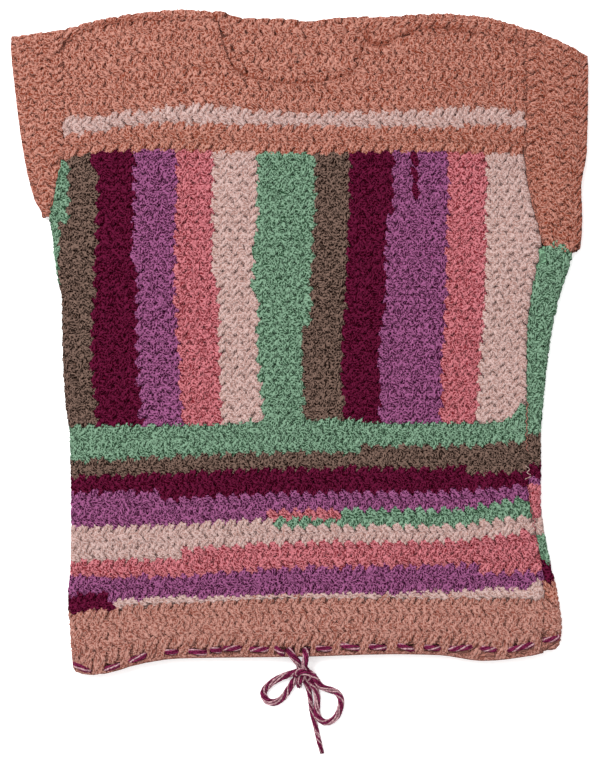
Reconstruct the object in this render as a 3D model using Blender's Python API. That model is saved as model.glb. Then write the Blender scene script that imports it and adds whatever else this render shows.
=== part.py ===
"""A crocheted pullover laid flat, in metres.

+X is to the right as the laid garment is seen from above, +Y runs from the hem to the neck and +Z is up.
The back layer rests on z = 0 and the front layer lies on it. The two are rolled into each other along the
sides and shoulders. A cord is laced through slots in the front of the hem and tied in a bow.
"""

import math
from collections import namedtuple

import bmesh
import bpy
from mathutils import Quaternion, Vector

# ---------------------------------------------------------------- driving sizes
WALL = 0.0040  # thickness of the crocheted fabric
SEAM = 0.0003  # clearance between neighbouring pieces
SLACK = 0.0012  # space between the two layers over most of the body
CORD = 0.0054  # diameter of the drawstring
TAIL = 0.0042  # diameter of its worn free ends
HEM_SPACE = CORD + 2 * SEAM  # space between the layers where the cord runs inside the hem
HEM_LEVEL = 0.0215  # height above the hem's edge up to which that space is full
HEM_TAPER = 0.0475  # height above the hem's edge where it has closed again
LACE_LINE = 0.0063  # height of the cord above the hem's edge
SLOT_WIDTH = CORD + 0.0010
BACK_RUN = 0.0110  # distance from the laced cord to its hidden stretch in the back of the hem
ROLL_STEPS = 4  # facets round each rolled edge

UNDER_LEFT = 0.1067  # heights of the two underarms
UNDER_RIGHT = 0.0770
UNDER_RIGHT_SEAM = 0.0860  # the right underarm where the side seam meets it
HALF_BODY = 0.2100  # rough half width of the body
MID_YOKE = 0.2500  # rough height of the yoke's middle
HEM_LEFT = -0.1962  # the last flat column of the hem band at the left
PASSES = 4  # times that a place on a slanting line is worked out again

# ---------------------------------------------------------------- outlines and seams
Side = namedtuple("Side", "y left right")  # the body's outer edges, from the hem up
SIDES = [
    Side(-0.3000, -0.1990, 0.2240),
    Side(-0.2940, -0.2040, 0.2240),
    Side(-0.2800, -0.2060, 0.2285),
    Side(-0.2740, -0.2062, 0.2345),
    Side(-0.2600, -0.2075, 0.2365),
    Side(-0.2330, -0.2090, 0.2340),
    Side(-0.1970, -0.2068, 0.2262),
    Side(-0.1430, -0.2064, 0.2180),
    Side(-0.0890, -0.2075, 0.2180),
    Side(-0.0530, -0.2118, 0.2205),
    Side(0.0010, -0.2145, 0.2268),
    Side(0.0370, -0.2148, 0.2340),
    Side(0.0550, -0.2183, 0.2395),
    Side(0.0770, -0.2215, 0.2462),
    Side(0.1067, -0.2255, 0.2480),
]

Seam = namedtuple("Seam", "y x")  # side seam on top at the right, then the armhole, from the hem up
RIGHT_SEAM = [
    Seam(-0.2900, 0.2170),
    Seam(-0.2450, 0.2200),
    Seam(-0.2100, 0.2195),
    Seam(-0.1730, 0.2130),
    Seam(-0.1300, 0.2065),
    Seam(-0.0790, 0.2048),
    Seam(-0.0080, 0.2048),
    Seam(0.0450, 0.2090),
    Seam(0.0600, 0.2120),
    Seam(0.0770, 0.2154),
    Seam(0.0870, 0.2174),
    Seam(0.1270, 0.2084),
    Seam(0.1720, 0.2022),
    Seam(0.2900, 0.2020),
]
LEFT_ARMHOLE = [
    Seam(0.1067, -0.2255),
    Seam(0.1210, -0.2228),
    Seam(0.1500, -0.2165),
    Seam(0.1720, -0.2122),
    Seam(0.2900, -0.2120),
]
LEFT_CUFF = [
    Seam(0.1067, -0.2280),
    Seam(0.1160, -0.2322),
    Seam(0.1290, -0.2392),
    Seam(0.1720, -0.2490),
    Seam(0.2260, -0.2562),
    Seam(0.2670, -0.2600),
    Seam(0.2760, -0.2590),
]
RIGHT_CUFF = [
    Seam(0.0797, 0.2466),
    Seam(0.0880, 0.2535),
    Seam(0.1120, 0.2545),
    Seam(0.1380, 0.2537),
    Seam(0.1720, 0.2588),
    Seam(0.2390, 0.2600),
    Seam(0.2600, 0.2596),
]

Wrap = namedtuple("Wrap", "y width")  # how far the front reaches round the left side, underneath
LEFT_WRAP = [
    Wrap(-0.3000, 0.0170),
    Wrap(-0.2450, 0.0165),
    Wrap(-0.1730, 0.0125),
    Wrap(-0.0530, 0.0170),
    Wrap(0.0550, 0.0260),
    Wrap(0.0900, 0.0150),
    Wrap(0.1067, 0.0070),
]

Line = namedtuple("Line", "x y")  # lines across the body, from left to right
TOP_EDGE = [
    Line(-0.2600, 0.2750),
    Line(-0.2160, 0.2815),
    Line(-0.1870, 0.2895),
    Line(-0.1440, 0.2970),
    Line(-0.1080, 0.3000),
    Line(-0.0720, 0.2975),
    Line(-0.0500, 0.2915),
    Line(-0.0140, 0.2912),
    Line(0.0080, 0.2885),
    Line(0.0300, 0.2915),
    Line(0.0720, 0.2935),
    Line(0.1250, 0.2962),
    Line(0.1590, 0.2945),
    Line(0.2020, 0.2842),
    Line(0.2310, 0.2732),
    Line(0.2600, 0.2580),
]
SHOULDER_LEFT = [
    Line(-0.2120, 0.2680),
    Line(-0.1886, 0.2820),
    Line(-0.1480, 0.2890),
    Line(-0.0770, 0.2910),
]
SHOULDER_RIGHT = [
    Line(0.0500, 0.2850),
    Line(0.0560, 0.2790),
    Line(0.0600, 0.2700),
    Line(0.0700, 0.2668),
    Line(0.0800, 0.2680),
    Line(0.0900, 0.2750),
    Line(0.1210, 0.2812),
    Line(0.1545, 0.2786),
    Line(0.2020, 0.2696),
]
NECK = [
    Line(-0.0734, 0.2880),
    Line(-0.0695, 0.2690),
    Line(-0.0590, 0.2460),
    Line(-0.0470, 0.2385),
    Line(-0.0095, 0.2320),
    Line(0.0077, 0.2325),
    Line(0.0310, 0.2363),
    Line(0.0470, 0.2415),
    Line(0.0550, 0.2555),
    Line(0.0600, 0.2697),
]
YOKE_LINE = [
    Line(-0.2140, 0.1634),
    Line(-0.1796, 0.1712),
    Line(-0.1346, 0.1728),
    Line(0.0185, 0.1700),
    Line(0.0905, 0.1715),
    Line(0.2030, 0.1688),
]
FRONT_PANEL_LINE = [
    Line(-0.2060, -0.0765),
    Line(-0.0700, -0.0748),
    Line(-0.0320, -0.0716),
    Line(0.0400, -0.0707),
    Line(0.0725, -0.0734),
    Line(0.1600, -0.0734),
    Line(0.2040, -0.0680),
]
BACK_PANEL_LINE = [Line(-0.2060, -0.0765), Line(0.2040, -0.0680)]
HEM_LINE = [
    Line(-0.2020, -0.2450),
    Line(-0.1000, -0.2380),
    Line(0.0000, -0.2338),
    Line(0.2030, -0.2350),
]
HEM_EDGE = [
    Line(-0.2000, -0.2985),
    Line(-0.1870, -0.3000),
    Line(-0.1730, -0.2985),
    Line(-0.1440, -0.2900),
    Line(-0.1080, -0.2850),
    Line(0.0000, -0.2835),
    Line(0.0870, -0.2812),
    Line(0.1250, -0.2820),
    Line(0.1650, -0.2872),
    Line(0.2020, -0.2838),
    Line(0.2300, -0.2775),
]

Ridge = namedtuple("Ridge", "x0 y0 x1 y1 width height")  # soft folds that lift the front layer
RIDGES = [
    Ridge(-0.236, 0.262, -0.228, 0.160, 0.018, 0.0022),
    Ridge(0.234, 0.250, 0.236, 0.110, 0.020, 0.0028),
    Ridge(-0.150, 0.262, -0.050, 0.215, 0.022, 0.0014),
    Ridge(0.080, 0.262, 0.190, 0.240, 0.024, 0.0020),
    Ridge(-0.190, 0.080, -0.090, 0.010, 0.026, 0.0016),
    Ridge(0.190, 0.060, 0.120, -0.040, 0.028, 0.0018),
    Ridge(-0.030, 0.130, 0.030, 0.030, 0.030, 0.0012),
    Ridge(-0.185, -0.120, -0.080, -0.150, 0.024, 0.0016),
    Ridge(0.195, -0.150, 0.060, -0.190, 0.026, 0.0018),
]

# ---------------------------------------------------------------- columns and rows of the pieces
TOP_COLUMNS = 12  # across each layer of the body
YOKE_COLUMNS = [
    -0.180, -0.150, -0.120, -0.095, -0.077, -0.0734, -0.0712, -0.0695, -0.0650, -0.0590, -0.0470,
    -0.0285, -0.0095, 0.0077, 0.0310, 0.0440, 0.0500, 0.0560, 0.0600, 0.0700, 0.0800, 0.0900,
    0.1050, 0.1250, 0.1500, 0.1760,
]  # fmt: skip
NECK_LEFT = -0.077  # the back's roll over the shoulders stops at these places
NECK_RIGHT = 0.050
YOKE_ROWS = 5
PANEL_ROWS = [0.0, 0.12, 0.238, 0.346, 0.388, 0.52, 0.68, 0.84, 1.0]
LEFT_UNDERARM_ROW = 2  # the rows that meet the underarms
RIGHT_UNDERARM_ROW = 4
LOWER_ROWS = [0.0, 0.25, 0.5, 0.75, 1.0]
SLEEVE_ROWS = 8
SLEEVE_COLUMNS = 3
ARMHOLE_EASE = 0.0005  # the sleeve keeps this far from the middle of the seam

Slot = namedtuple("Slot", "x half")  # middle and half length of each slot in the front of the hem
SLOTS = [
    Slot(-0.1830, 0.0070),
    Slot(-0.1605, 0.0070),
    Slot(-0.1380, 0.0075),
    Slot(-0.1140, 0.0085),
    Slot(-0.0915, 0.0068),
    Slot(-0.0730, 0.0062),
    Slot(-0.0545, 0.0062),
    Slot(-0.0345, 0.0075),
    Slot(-0.0090, 0.0045),
    Slot(0.0052, 0.0045),
    Slot(0.0240, 0.0070),
    Slot(0.0455, 0.0080),
    Slot(0.0702, 0.0085),
    Slot(0.0965, 0.0085),
    Slot(0.1195, 0.0070),
    Slot(0.1440, 0.0085),
    Slot(0.1705, 0.0085),
    Slot(0.1960, 0.0095),
]
EXIT_LEFT = SLOTS[8]  # the two slots that the ends of the cord leave by
EXIT_RIGHT = SLOTS[9]

# ---------------------------------------------------------------- colours
ROSE = (0.48, 0.21, 0.15)
GREEN = (0.17, 0.26, 0.18)
MAROON = (0.10, 0.012, 0.030)


def smooth(rows, at):
    """The second column of a table at a value of its first, smooth and without overshoot."""
    if at <= rows[0][0]:
        return rows[0][1]
    if at >= rows[-1][0]:
        return rows[-1][1]
    slopes = [(b[1] - a[1]) / (b[0] - a[0]) for a, b in zip(rows, rows[1:])]

    def lean(k):
        if k == 0 or k == len(slopes):
            return slopes[min(k, len(slopes) - 1)]
        before, after = slopes[k - 1], slopes[k]
        return 0.0 if before * after <= 0 else 2 * before * after / (before + after)

    k = next(i for i in range(len(slopes)) if at < rows[i + 1][0])
    span = rows[k + 1][0] - rows[k][0]
    t = (at - rows[k][0]) / span
    start, end = rows[k][1], rows[k + 1][1]
    bend = t * (1 - t) * ((1 - t) * (lean(k) * span - end + start) + t * (end - start - lean(k + 1) * span))
    return start + (end - start) * t + bend


def mix(a, b, t):
    return a + (b - a) * t


def soft_step(t):
    t = min(1.0, max(0.0, t))
    return t * t * (3 - 2 * t)


LEFT_EDGE = [(row.y, row.left) for row in SIDES]
RIGHT_EDGE = [(row.y, row.right) for row in SIDES]


def ridge_height(ridge, x, y):
    """A soft ridge between two points, fading at its ends."""
    dx, dy = ridge.x1 - ridge.x0, ridge.y1 - ridge.y0
    length = math.hypot(dx, dy)
    along = ((x - ridge.x0) * dx + (y - ridge.y0) * dy) / length
    across = ((x - ridge.x0) * dy - (y - ridge.y0) * dx) / length
    past = max(0.0, -along, along - length)
    return ridge.height * math.exp(-(across**2 + past**2) / ridge.width**2)


def layer_space(x, y):
    """The space between the back layer and the front layer."""
    lift = SLACK + sum(ridge_height(ridge, x, y) for ridge in RIDGES)
    above = y - smooth(HEM_EDGE, x)
    hem = soft_step((HEM_TAPER - above) / (HEM_TAPER - HEM_LEVEL))
    return mix(lift, HEM_SPACE, hem)


def front_height(x, y):
    """The middle of the front layer's wall."""
    return 1.5 * WALL + layer_space(x, y)


def on_top(x, y):
    """A spot of the front layer: its point and the way out of the garment."""
    step = 0.001
    lean_x = (front_height(x + step, y) - front_height(x - step, y)) / (2 * step)
    lean_y = (front_height(x, y + step) - front_height(x, y - step)) / (2 * step)
    return Vector((x, y, front_height(x, y))), Vector((-lean_x, -lean_y, 1)).normalized()


def underneath(x, y):
    return Vector((x, y, WALL / 2)), Vector((0, 0, -1))


def roll_radius(edge, way):
    """Half the distance between the two layers' middles just inside an edge."""
    inside = edge - way * (WALL + SLACK / 2)
    return (front_height(inside.x, inside.y) - WALL / 2) / 2


def roll_start(edge, way):
    """Where the flat layer ends and the roll begins."""
    return edge - way * (WALL / 2 + roll_radius(edge, way))


def rolled(edge, way, angle):
    """A spot on the roll at an edge, from angle 0 on top to pi underneath. way points out of the edge."""
    radius = roll_radius(edge, way)
    flat = roll_start(edge, way) + way * radius * math.sin(angle)
    height = WALL / 2 + radius * (1 + math.cos(angle))
    out = Vector((way.x * math.sin(angle), way.y * math.sin(angle), math.cos(angle)))
    return Vector((flat.x, flat.y, height)), out


LEFTWARD = Vector((-1, 0))
RIGHTWARD = Vector((1, 0))
UPWARD = Vector((0, 1))
DOWNWARD = Vector((0, -1))
ROLL_ANGLES = [math.pi * k / ROLL_STEPS for k in range(ROLL_STEPS + 1)]


def make_material(name, colour):
    material = bpy.data.materials.new(name)
    material.use_nodes = True
    shader = material.node_tree.nodes["Principled BSDF"]
    shader.inputs["Base Color"].default_value = (*colour, 1)
    shader.inputs["Roughness"].default_value = 0.9
    shader.inputs["Metallic"].default_value = 0.0
    return material


def add_object(name, mesh, material):
    mesh.materials.append(material)
    made = bpy.data.objects.new(name, mesh)
    bpy.context.collection.objects.link(made)
    return made


def wall(name, grid, material, keep=None, ring=False):
    """A closed wall of fabric on a grid of spots, grid[column][row]. keep says which cells are cloth."""
    columns, rows = len(grid) - 1, len(grid[0]) - 1
    bm = bmesh.new()
    bmesh.ops.create_grid(bm, x_segments=columns, y_segments=rows, size=0.5)
    outward = bm.verts.layers.float_vector.new("outward")

    def place(co):
        return (co.x + 0.5) * columns, (co.y + 0.5) * rows

    holes = []
    for face in bm.faces:
        column, row = place(face.calc_center_median())
        if keep and not keep(int(column), int(row)):
            holes.append(face)
    for vert in bm.verts:
        column, row = place(vert.co)
        vert.co, vert[outward] = grid[round(column)][round(row)]
    bmesh.ops.delete(bm, geom=holes, context="FACES")
    if ring:
        bmesh.ops.remove_doubles(bm, verts=bm.verts, dist=1e-6)
    inner = list(bm.verts)
    made = bmesh.ops.extrude_face_region(bm, geom=bm.faces[:], use_keep_orig=True)["geom"]
    for vert in inner:
        vert.co -= vert[outward] * WALL / 2
    for vert in made:
        if isinstance(vert, bmesh.types.BMVert):
            vert.co += vert[outward] * WALL / 2
    bm.verts.layers.float_vector.remove(outward)
    bmesh.ops.recalc_face_normals(bm, faces=bm.faces)
    mesh = bpy.data.meshes.new(name)
    bm.to_mesh(mesh)
    bm.free()
    return add_object(name, mesh, material)


def front_columns(line, shares, right_gap=SEAM / 2):
    """The spots of the front along one line: the top layer from the right seam, the left roll, underneath."""
    spots = []
    for share in shares:
        x = mix(HALF_BODY, -HALF_BODY, share)
        for _ in range(PASSES):
            y = line(x)
            right = smooth(RIGHT_SEAM, y) - right_gap
            if y > UNDER_LEFT + SEAM:
                left = smooth(LEFT_ARMHOLE, y) + SEAM / 2
            else:
                left = roll_start(Vector((smooth(LEFT_EDGE, y), y)), LEFTWARD).x
            x = mix(right, left, share)
        spots.append(on_top(x, y))
    y = line(spots[-1][0].x)
    edge = Vector((smooth(LEFT_EDGE, y), y))
    spots += [rolled(edge, LEFTWARD, angle) for angle in ROLL_ANGLES[1:]]
    end = edge.x + smooth(LEFT_WRAP, y) - SEAM / 2
    y = line(end)
    spots.append(underneath(smooth(LEFT_EDGE, y) + smooth(LEFT_WRAP, y) - SEAM / 2, y))
    return spots


def back_columns(line, shares, slant=0.0):
    """The spots of the back along one line: underneath from the left seam, the right roll, on top."""
    spots = []
    for share in shares:
        x = mix(-HALF_BODY, HALF_BODY, share)
        for _ in range(PASSES):
            y = line(x)
            if y > UNDER_LEFT + SEAM:
                left = smooth(LEFT_ARMHOLE, y) + SEAM / 2
            else:
                left = smooth(LEFT_EDGE, y) + smooth(LEFT_WRAP, y) + SEAM / 2
            if y > UNDER_RIGHT_SEAM - SEAM:
                right = smooth(RIGHT_SEAM, y) - SEAM / 2
            else:
                right = roll_start(Vector((smooth(RIGHT_EDGE, y), y)), RIGHTWARD).x
            x = mix(left, right, share)
        spots.append(underneath(x, y))
    y = line(spots[-1][0].x)
    edge = Vector((smooth(RIGHT_EDGE, y), y))
    spots += [rolled(edge, RIGHTWARD, angle) for angle in reversed(ROLL_ANGLES[:-1])]
    seam_y = y + slant
    spots.append(on_top(smooth(RIGHT_SEAM, seam_y) + SEAM / 2, seam_y))
    return spots


def between(upper, lower, share):
    """A line across the body part of the way from one line down to another, seams left clear."""
    def line(x):
        return mix(smooth(upper, x) - SEAM / 2, smooth(lower, x) + SEAM / 2, share)

    return line


def columns_of(rows):
    """Turns a list of rows of spots into columns."""
    return [list(column) for column in zip(*rows)]


EVEN_SHARES = [k / TOP_COLUMNS for k in range(TOP_COLUMNS + 1)]


def body_panels(materials):
    """The four panels between the yoke and the hem bands."""
    rows = [front_columns(between(YOKE_LINE, FRONT_PANEL_LINE, s), EVEN_SHARES) for s in PANEL_ROWS]
    wall(
        "front_striped_panel", columns_of(rows), materials["green"],
        keep=lambda column, row: column < TOP_COLUMNS or row >= LEFT_UNDERARM_ROW,
    )  # fmt: skip
    rows = [front_columns(between(FRONT_PANEL_LINE, HEM_LINE, s), EVEN_SHARES) for s in LOWER_ROWS]
    wall("front_lower_panel", columns_of(rows), materials["green"])

    slant = UNDER_RIGHT_SEAM - UNDER_RIGHT
    rows = [
        back_columns(between(YOKE_LINE, BACK_PANEL_LINE, s), EVEN_SHARES, slant * (k == RIGHT_UNDERARM_ROW))
        for k, s in enumerate(PANEL_ROWS)
    ]
    wall(
        "back_striped_panel", columns_of(rows), materials["green"],
        keep=lambda column, row: column < TOP_COLUMNS or row >= RIGHT_UNDERARM_ROW,
    )  # fmt: skip
    rows = [back_columns(between(BACK_PANEL_LINE, HEM_LINE, s), EVEN_SHARES) for s in LOWER_ROWS]
    wall("back_lower_panel", columns_of(rows), materials["green"])


def hem_bands(materials):
    """The front band with its slots for the cord, and the plain band at the back."""
    heights = [HEM_LEVEL, LACE_LINE + SLOT_WIDTH / 2, LACE_LINE - SLOT_WIDTH / 2, 0.0]
    slot_row = 2 + heights.index(LACE_LINE + SLOT_WIDTH / 2)

    def above_edge(height):
        return lambda x: smooth(HEM_EDGE, x) + height

    def below_seam(share):
        return lambda x: mix(smooth(HEM_LINE, x) - SEAM / 2, smooth(HEM_EDGE, x) + HEM_LEVEL, share)

    lines = [below_seam(0.0), below_seam(0.5)] + [above_edge(height) for height in heights]
    ends = sorted(x for slot in SLOTS for x in (slot.x - slot.half, slot.x + slot.half))
    places = [RIGHT_SEAM[0].x - SEAM / 2, *reversed(ends), HEM_LEFT]
    slot_columns = set(range(1, len(ends), 2))
    rows = []
    for line in lines:
        spots = [on_top(min(x, smooth(RIGHT_SEAM, line(x)) - SEAM / 2), line(x)) for x in places]
        row = front_columns(line, [1.0])
        rows.append(spots + row)
    wall(
        "front_hem_band", columns_of(rows), materials["rose"],
        keep=lambda column, row: not (row == slot_row and column in slot_columns),
    )  # fmt: skip

    lines = [below_seam(0.0), below_seam(0.5)] + [above_edge(height) for height in (*heights[:2], 0.0)]
    rows = [back_columns(line, EVEN_SHARES) for line in lines]
    wall("back_hem_band", columns_of(rows), materials["rose"])


def yoke_places():
    """The yoke's columns, with None where a column follows an armhole."""
    return [None, *YOKE_COLUMNS, None]


def yoke_column_x(index, y):
    places = yoke_places()
    if index == 0:
        return smooth(LEFT_ARMHOLE, y) + SEAM / 2
    if index == len(places) - 1:
        return smooth(RIGHT_SEAM, y) - SEAM / 2
    return places[index]


def front_top_edge(x):
    """The front's upper edge: the shoulder seams and the neckline between them."""
    if x <= NECK_LEFT:
        return smooth(SHOULDER_LEFT, x) - SEAM / 2
    if x >= NECK[-1].x:
        return smooth(SHOULDER_RIGHT, x) - SEAM / 2
    return smooth(NECK, x)


def yokes(materials):
    count = len(yoke_places())
    grid = []
    for index in range(count):
        column = []
        for row in range(YOKE_ROWS + 1):
            x = yoke_column_x(index, MID_YOKE)
            for _ in range(PASSES):
                y = mix(smooth(YOKE_LINE, x) + SEAM / 2, front_top_edge(x), row / YOKE_ROWS)
                x = yoke_column_x(index, y)
            column.append(on_top(x, y))
        grid.append(column)
    wall("front_yoke", grid, materials["rose"])

    grid = []
    for index in range(count):
        x = yoke_column_x(index, MID_YOKE)
        edge = Vector((x, smooth(TOP_EDGE, x)))
        shoulder = x <= NECK_LEFT or x >= NECK_RIGHT
        top = roll_start(edge, UPWARD).y if shoulder else edge.y
        column = []
        for row in range(YOKE_ROWS + 1):
            for _ in range(PASSES):
                y = mix(smooth(YOKE_LINE, x) + SEAM / 2, top, row / YOKE_ROWS)
                x = yoke_column_x(index, y)
            column.append(underneath(x, y))
        column += [rolled(edge, UPWARD, angle) for angle in reversed(ROLL_ANGLES[:-1])]
        line = SHOULDER_LEFT if x <= NECK_LEFT else SHOULDER_RIGHT
        column.append(on_top(yoke_column_x(index, edge.y), smooth(line, x) + SEAM / 2))
        grid.append(column)
    stop, start = YOKE_COLUMNS.index(NECK_LEFT) + 1, YOKE_COLUMNS.index(NECK_RIGHT) + 1
    wall(
        "back_yoke", grid, materials["rose"],
        keep=lambda column, row: row < YOKE_ROWS or not stop <= column < start,
    )  # fmt: skip


def sleeve(name, armhole, cuff, lower_end, outward, material):
    """A short sleeve: a flat tube rolled at the shoulder and under the arm. lower_end gives y by x."""
    grid = []
    for step in range(SLEEVE_COLUMNS + 1):
        share = step / SLEEVE_COLUMNS

        def across(y):
            return mix(smooth(armhole, y) + outward * ARMHOLE_EASE, smooth(cuff, y), share)

        high_x, low_x = across(MID_YOKE), across(UNDER_LEFT)
        for _ in range(PASSES):
            high = Vector((high_x, smooth(TOP_EDGE, high_x)))
            low = Vector((low_x, smooth(lower_end, low_x)))
            high_x, low_x = across(high.y), across(low.y)
        start, end = roll_start(high, UPWARD).y, roll_start(low, DOWNWARD).y
        heights = [mix(start, end, k / SLEEVE_ROWS) for k in range(SLEEVE_ROWS + 1)]
        spots = [on_top(across(y), y) for y in heights]
        spots += [rolled(low, DOWNWARD, angle) for angle in ROLL_ANGLES[1:-1]]
        spots += [underneath(across(y), y) for y in reversed(heights)]
        spots += [rolled(high, UPWARD, angle) for angle in reversed(ROLL_ANGLES[1:-1])]
        grid.append(spots + spots[:1])
    return wall(name, grid, material, ring=True)


def sleeves(materials):
    left_end = [Line(-0.2320, 0.1120), Line(-0.2240, 0.1100)]
    right_end = [Line(0.2170, 0.0875), Line(0.2410, 0.0782), Line(0.2470, 0.0805), Line(0.2540, 0.0860)]
    sleeve("sleeve_left", LEFT_ARMHOLE, LEFT_CUFF, left_end, -1, materials["rose"])
    sleeve("sleeve_right", RIGHT_SEAM, RIGHT_CUFF, right_end, 1, materials["rose"])


# ---------------------------------------------------------------- the drawstring
INSIDE = WALL + HEM_SPACE / 2  # height of the cord's middle between the layers
LACE_RISE = 0.0066  # how much higher it comes in the middle of a long slot
LACE_SLOPE = 0.0080  # distance from the end of a slot at which it has risen
TURN = BACK_RUN / 2  # radius of the turn at each side of the hem
TURN_LEFT = 0.0025  # distance from the last slot on each side to where the turn begins
TURN_RIGHT = 0.0145
JOIN = 0.0010  # distance from the turn to where its cord meets the laced one
BACK_STEPS = 24
FINE_STEPS = 12  # steps of the smooth curve between two points of a route


def spaced(points, step):
    """Points at even steps along the smooth curve through the given ones."""
    points = [Vector(point) for point in points]
    ends = [points[0] * 2 - points[1], *points, points[-1] * 2 - points[-2]]
    fine = []
    for a, b, c, d in zip(ends, ends[1:], ends[2:], ends[3:]):
        for k in range(FINE_STEPS):
            t = k / FINE_STEPS
            pull = (c - a) * t + (2 * a - 5 * b + 4 * c - d) * t**2 + (3 * b - a - 3 * c + d) * t**3
            fine.append(b + pull / 2)
    fine.append(points[-1])
    lengths = [0.0]
    for a, b in zip(fine, fine[1:]):
        lengths.append(lengths[-1] + (b - a).length)
    count = max(2, round(lengths[-1] / step))
    found = []
    for k in range(count + 1):
        reach = lengths[-1] * k / count
        i = next((i for i in range(len(fine) - 1) if lengths[i + 1] >= reach - 1e-9), len(fine) - 2)
        share = (reach - lengths[i]) / (lengths[i + 1] - lengths[i])
        found.append(fine[i].lerp(fine[i + 1], share))
    return found


def tube(name, points, diameter, material):
    """A stretch of cord through the points, closed at both ends."""
    curve = bpy.data.curves.new(name, "CURVE")
    curve.dimensions = "3D"
    curve.bevel_depth = diameter / 2
    curve.bevel_resolution = 2
    curve.use_fill_caps = True
    spline = curve.splines.new("POLY")
    spline.points.add(len(points) - 1)
    for point, place in zip(spline.points, points):
        point.co = (*place, 1)
    made = bpy.data.objects.new(name, curve)
    made.data.materials.append(material)
    bpy.context.collection.objects.link(made)
    return made


def lace_point(x, rise):
    return x, smooth(HEM_EDGE, x) + LACE_LINE, INSIDE + rise


def slot_points(slot):
    """The cord over one slot: it comes up out of the hem, lies in the slot and goes in again."""
    reaches = [0.0012, 0.0036, min(LACE_SLOPE, slot.half)]
    points = []
    for side in (-1, 1):
        for reach in reaches if side < 0 else reversed(reaches):
            if side > 0 and reach == slot.half:
                continue
            rise = LACE_RISE * soft_step((reach - reaches[0]) / (LACE_SLOPE - reaches[0]))
            points.append(lace_point(slot.x + side * (slot.half - reach), rise))
    return points


def side_turn(x, toward):
    """The cord's turn at a side of the hem, from the laced line to the stretch behind it."""
    middle = smooth(HEM_EDGE, x) + LACE_LINE + TURN
    angles = [math.pi * k / 6 for k in range(7)]
    return [(x + toward * TURN * math.sin(a), middle - TURN * math.cos(a), INSIDE) for a in angles]


def laced_cord(material):
    """The stretches of the cord that the hem holds."""
    left = [slot for slot in SLOTS if slot.x < EXIT_LEFT.x]
    right = [slot for slot in SLOTS if slot.x > EXIT_RIGHT.x]
    turn_left, turn_right = left[0].x - left[0].half - TURN_LEFT, right[-1].x + right[-1].half + TURN_RIGHT
    join_left, join_right = turn_left + JOIN, turn_right - JOIN
    exit_reach = CORD / 2 + SEAM

    points = [lace_point(join_left + SEAM, 0.0)]
    for slot in left:
        points += slot_points(slot)
    points.append(lace_point(EXIT_LEFT.x - exit_reach, 0.0))
    tube("cord_laced_left", points, CORD, material)

    points = [lace_point(EXIT_RIGHT.x + exit_reach, 0.0)]
    for slot in right:
        points += slot_points(slot)
    points.append(lace_point(join_right - SEAM, 0.0))
    tube("cord_laced_right", points, CORD, material)

    points = [lace_point(join_left, 0.0), *side_turn(turn_left, -1)]
    for k in range(1, BACK_STEPS):
        x = mix(turn_left, turn_right, k / BACK_STEPS)
        points.append((x, smooth(HEM_EDGE, x) + LACE_LINE + BACK_RUN, INSIDE))
    points += [*reversed(side_turn(turn_right, 1)), lace_point(join_right, 0.0)]
    tube("cord_back_run", points, CORD, material)


FLOOR = CORD / 2 + 0.0002  # height of the cord's middle where it lies on the surface
LEAD_LEFT = [
    (-0.0090, -0.2772, 0.0046), (-0.0090, -0.2772, 0.0120), (-0.0089, -0.2774, 0.0156),
    (-0.0084, -0.2800, 0.0179), (-0.0070, -0.2836, 0.0177), (-0.0048, -0.2872, 0.0156),
    (-0.0024, -0.2900, 0.0128), (-0.0006, -0.2930, 0.0108),
]  # fmt: skip
LEAD_RIGHT = [
    (0.0052, -0.2772, 0.0046), (0.0052, -0.2772, 0.0120), (0.0053, -0.2774, 0.0156),
    (0.0060, -0.2800, 0.0179), (0.0072, -0.2836, 0.0177), (0.0078, -0.2872, 0.0156),
    (0.0076, -0.2900, 0.0128), (0.0068, -0.2930, 0.0108),
]  # fmt: skip
LOOP_LEFT = [
    (-0.0052, -0.2990, 0.0060), (-0.0110, -0.3010, 0.0040), (-0.0207, -0.3054, FLOOR),
    (-0.0296, -0.3122, FLOOR), (-0.0325, -0.3186, FLOOR), (-0.0286, -0.3250, FLOOR),
    (-0.0214, -0.3258, FLOOR), (-0.0145, -0.3212, FLOOR), (-0.0090, -0.3131, FLOOR),
    (-0.0045, -0.3062, 0.0036),
]  # fmt: skip
LOOP_RIGHT = [
    (0.0118, -0.3002, 0.0092), (0.0152, -0.3050, 0.0086), (0.0195, -0.3110, 0.0068),
    (0.0262, -0.3140, 0.0042), (0.0336, -0.3170, FLOOR), (0.0374, -0.3232, FLOOR),
    (0.0367, -0.3317, FLOOR), (0.0329, -0.3395, FLOOR), (0.0258, -0.3440, FLOOR),
    (0.0196, -0.3424, FLOOR), (0.0160, -0.3364, FLOOR), (0.0158, -0.3290, FLOOR),
    (0.0160, -0.3217, FLOOR), (0.0144, -0.3140, FLOOR), (0.0112, -0.3078, 0.0034),
]  # fmt: skip
TAIL_LONG = [
    (0.0050, -0.3076, 0.0034), (0.0068, -0.3130, 0.0024), (0.0078, -0.3217, 0.0022),
    (0.0092, -0.3333, 0.0022), (0.0124, -0.3449, 0.0022), (0.0150, -0.3550, 0.0022),
    (0.0181, -0.3659, 0.0022), (0.0206, -0.3725, 0.0022),
]  # fmt: skip
TAIL_SHORT = [(0.0000, -0.3062, 0.0090), (-0.0002, -0.3092, 0.0076), (0.0000, -0.3120, 0.0060)]
Knot = namedtuple("Knot", "x y z reach_x reach_y reach_z")
KNOT = Knot(0.0035, -0.2998, 0.0066, 0.0078, 0.0066, 0.0064)


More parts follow.
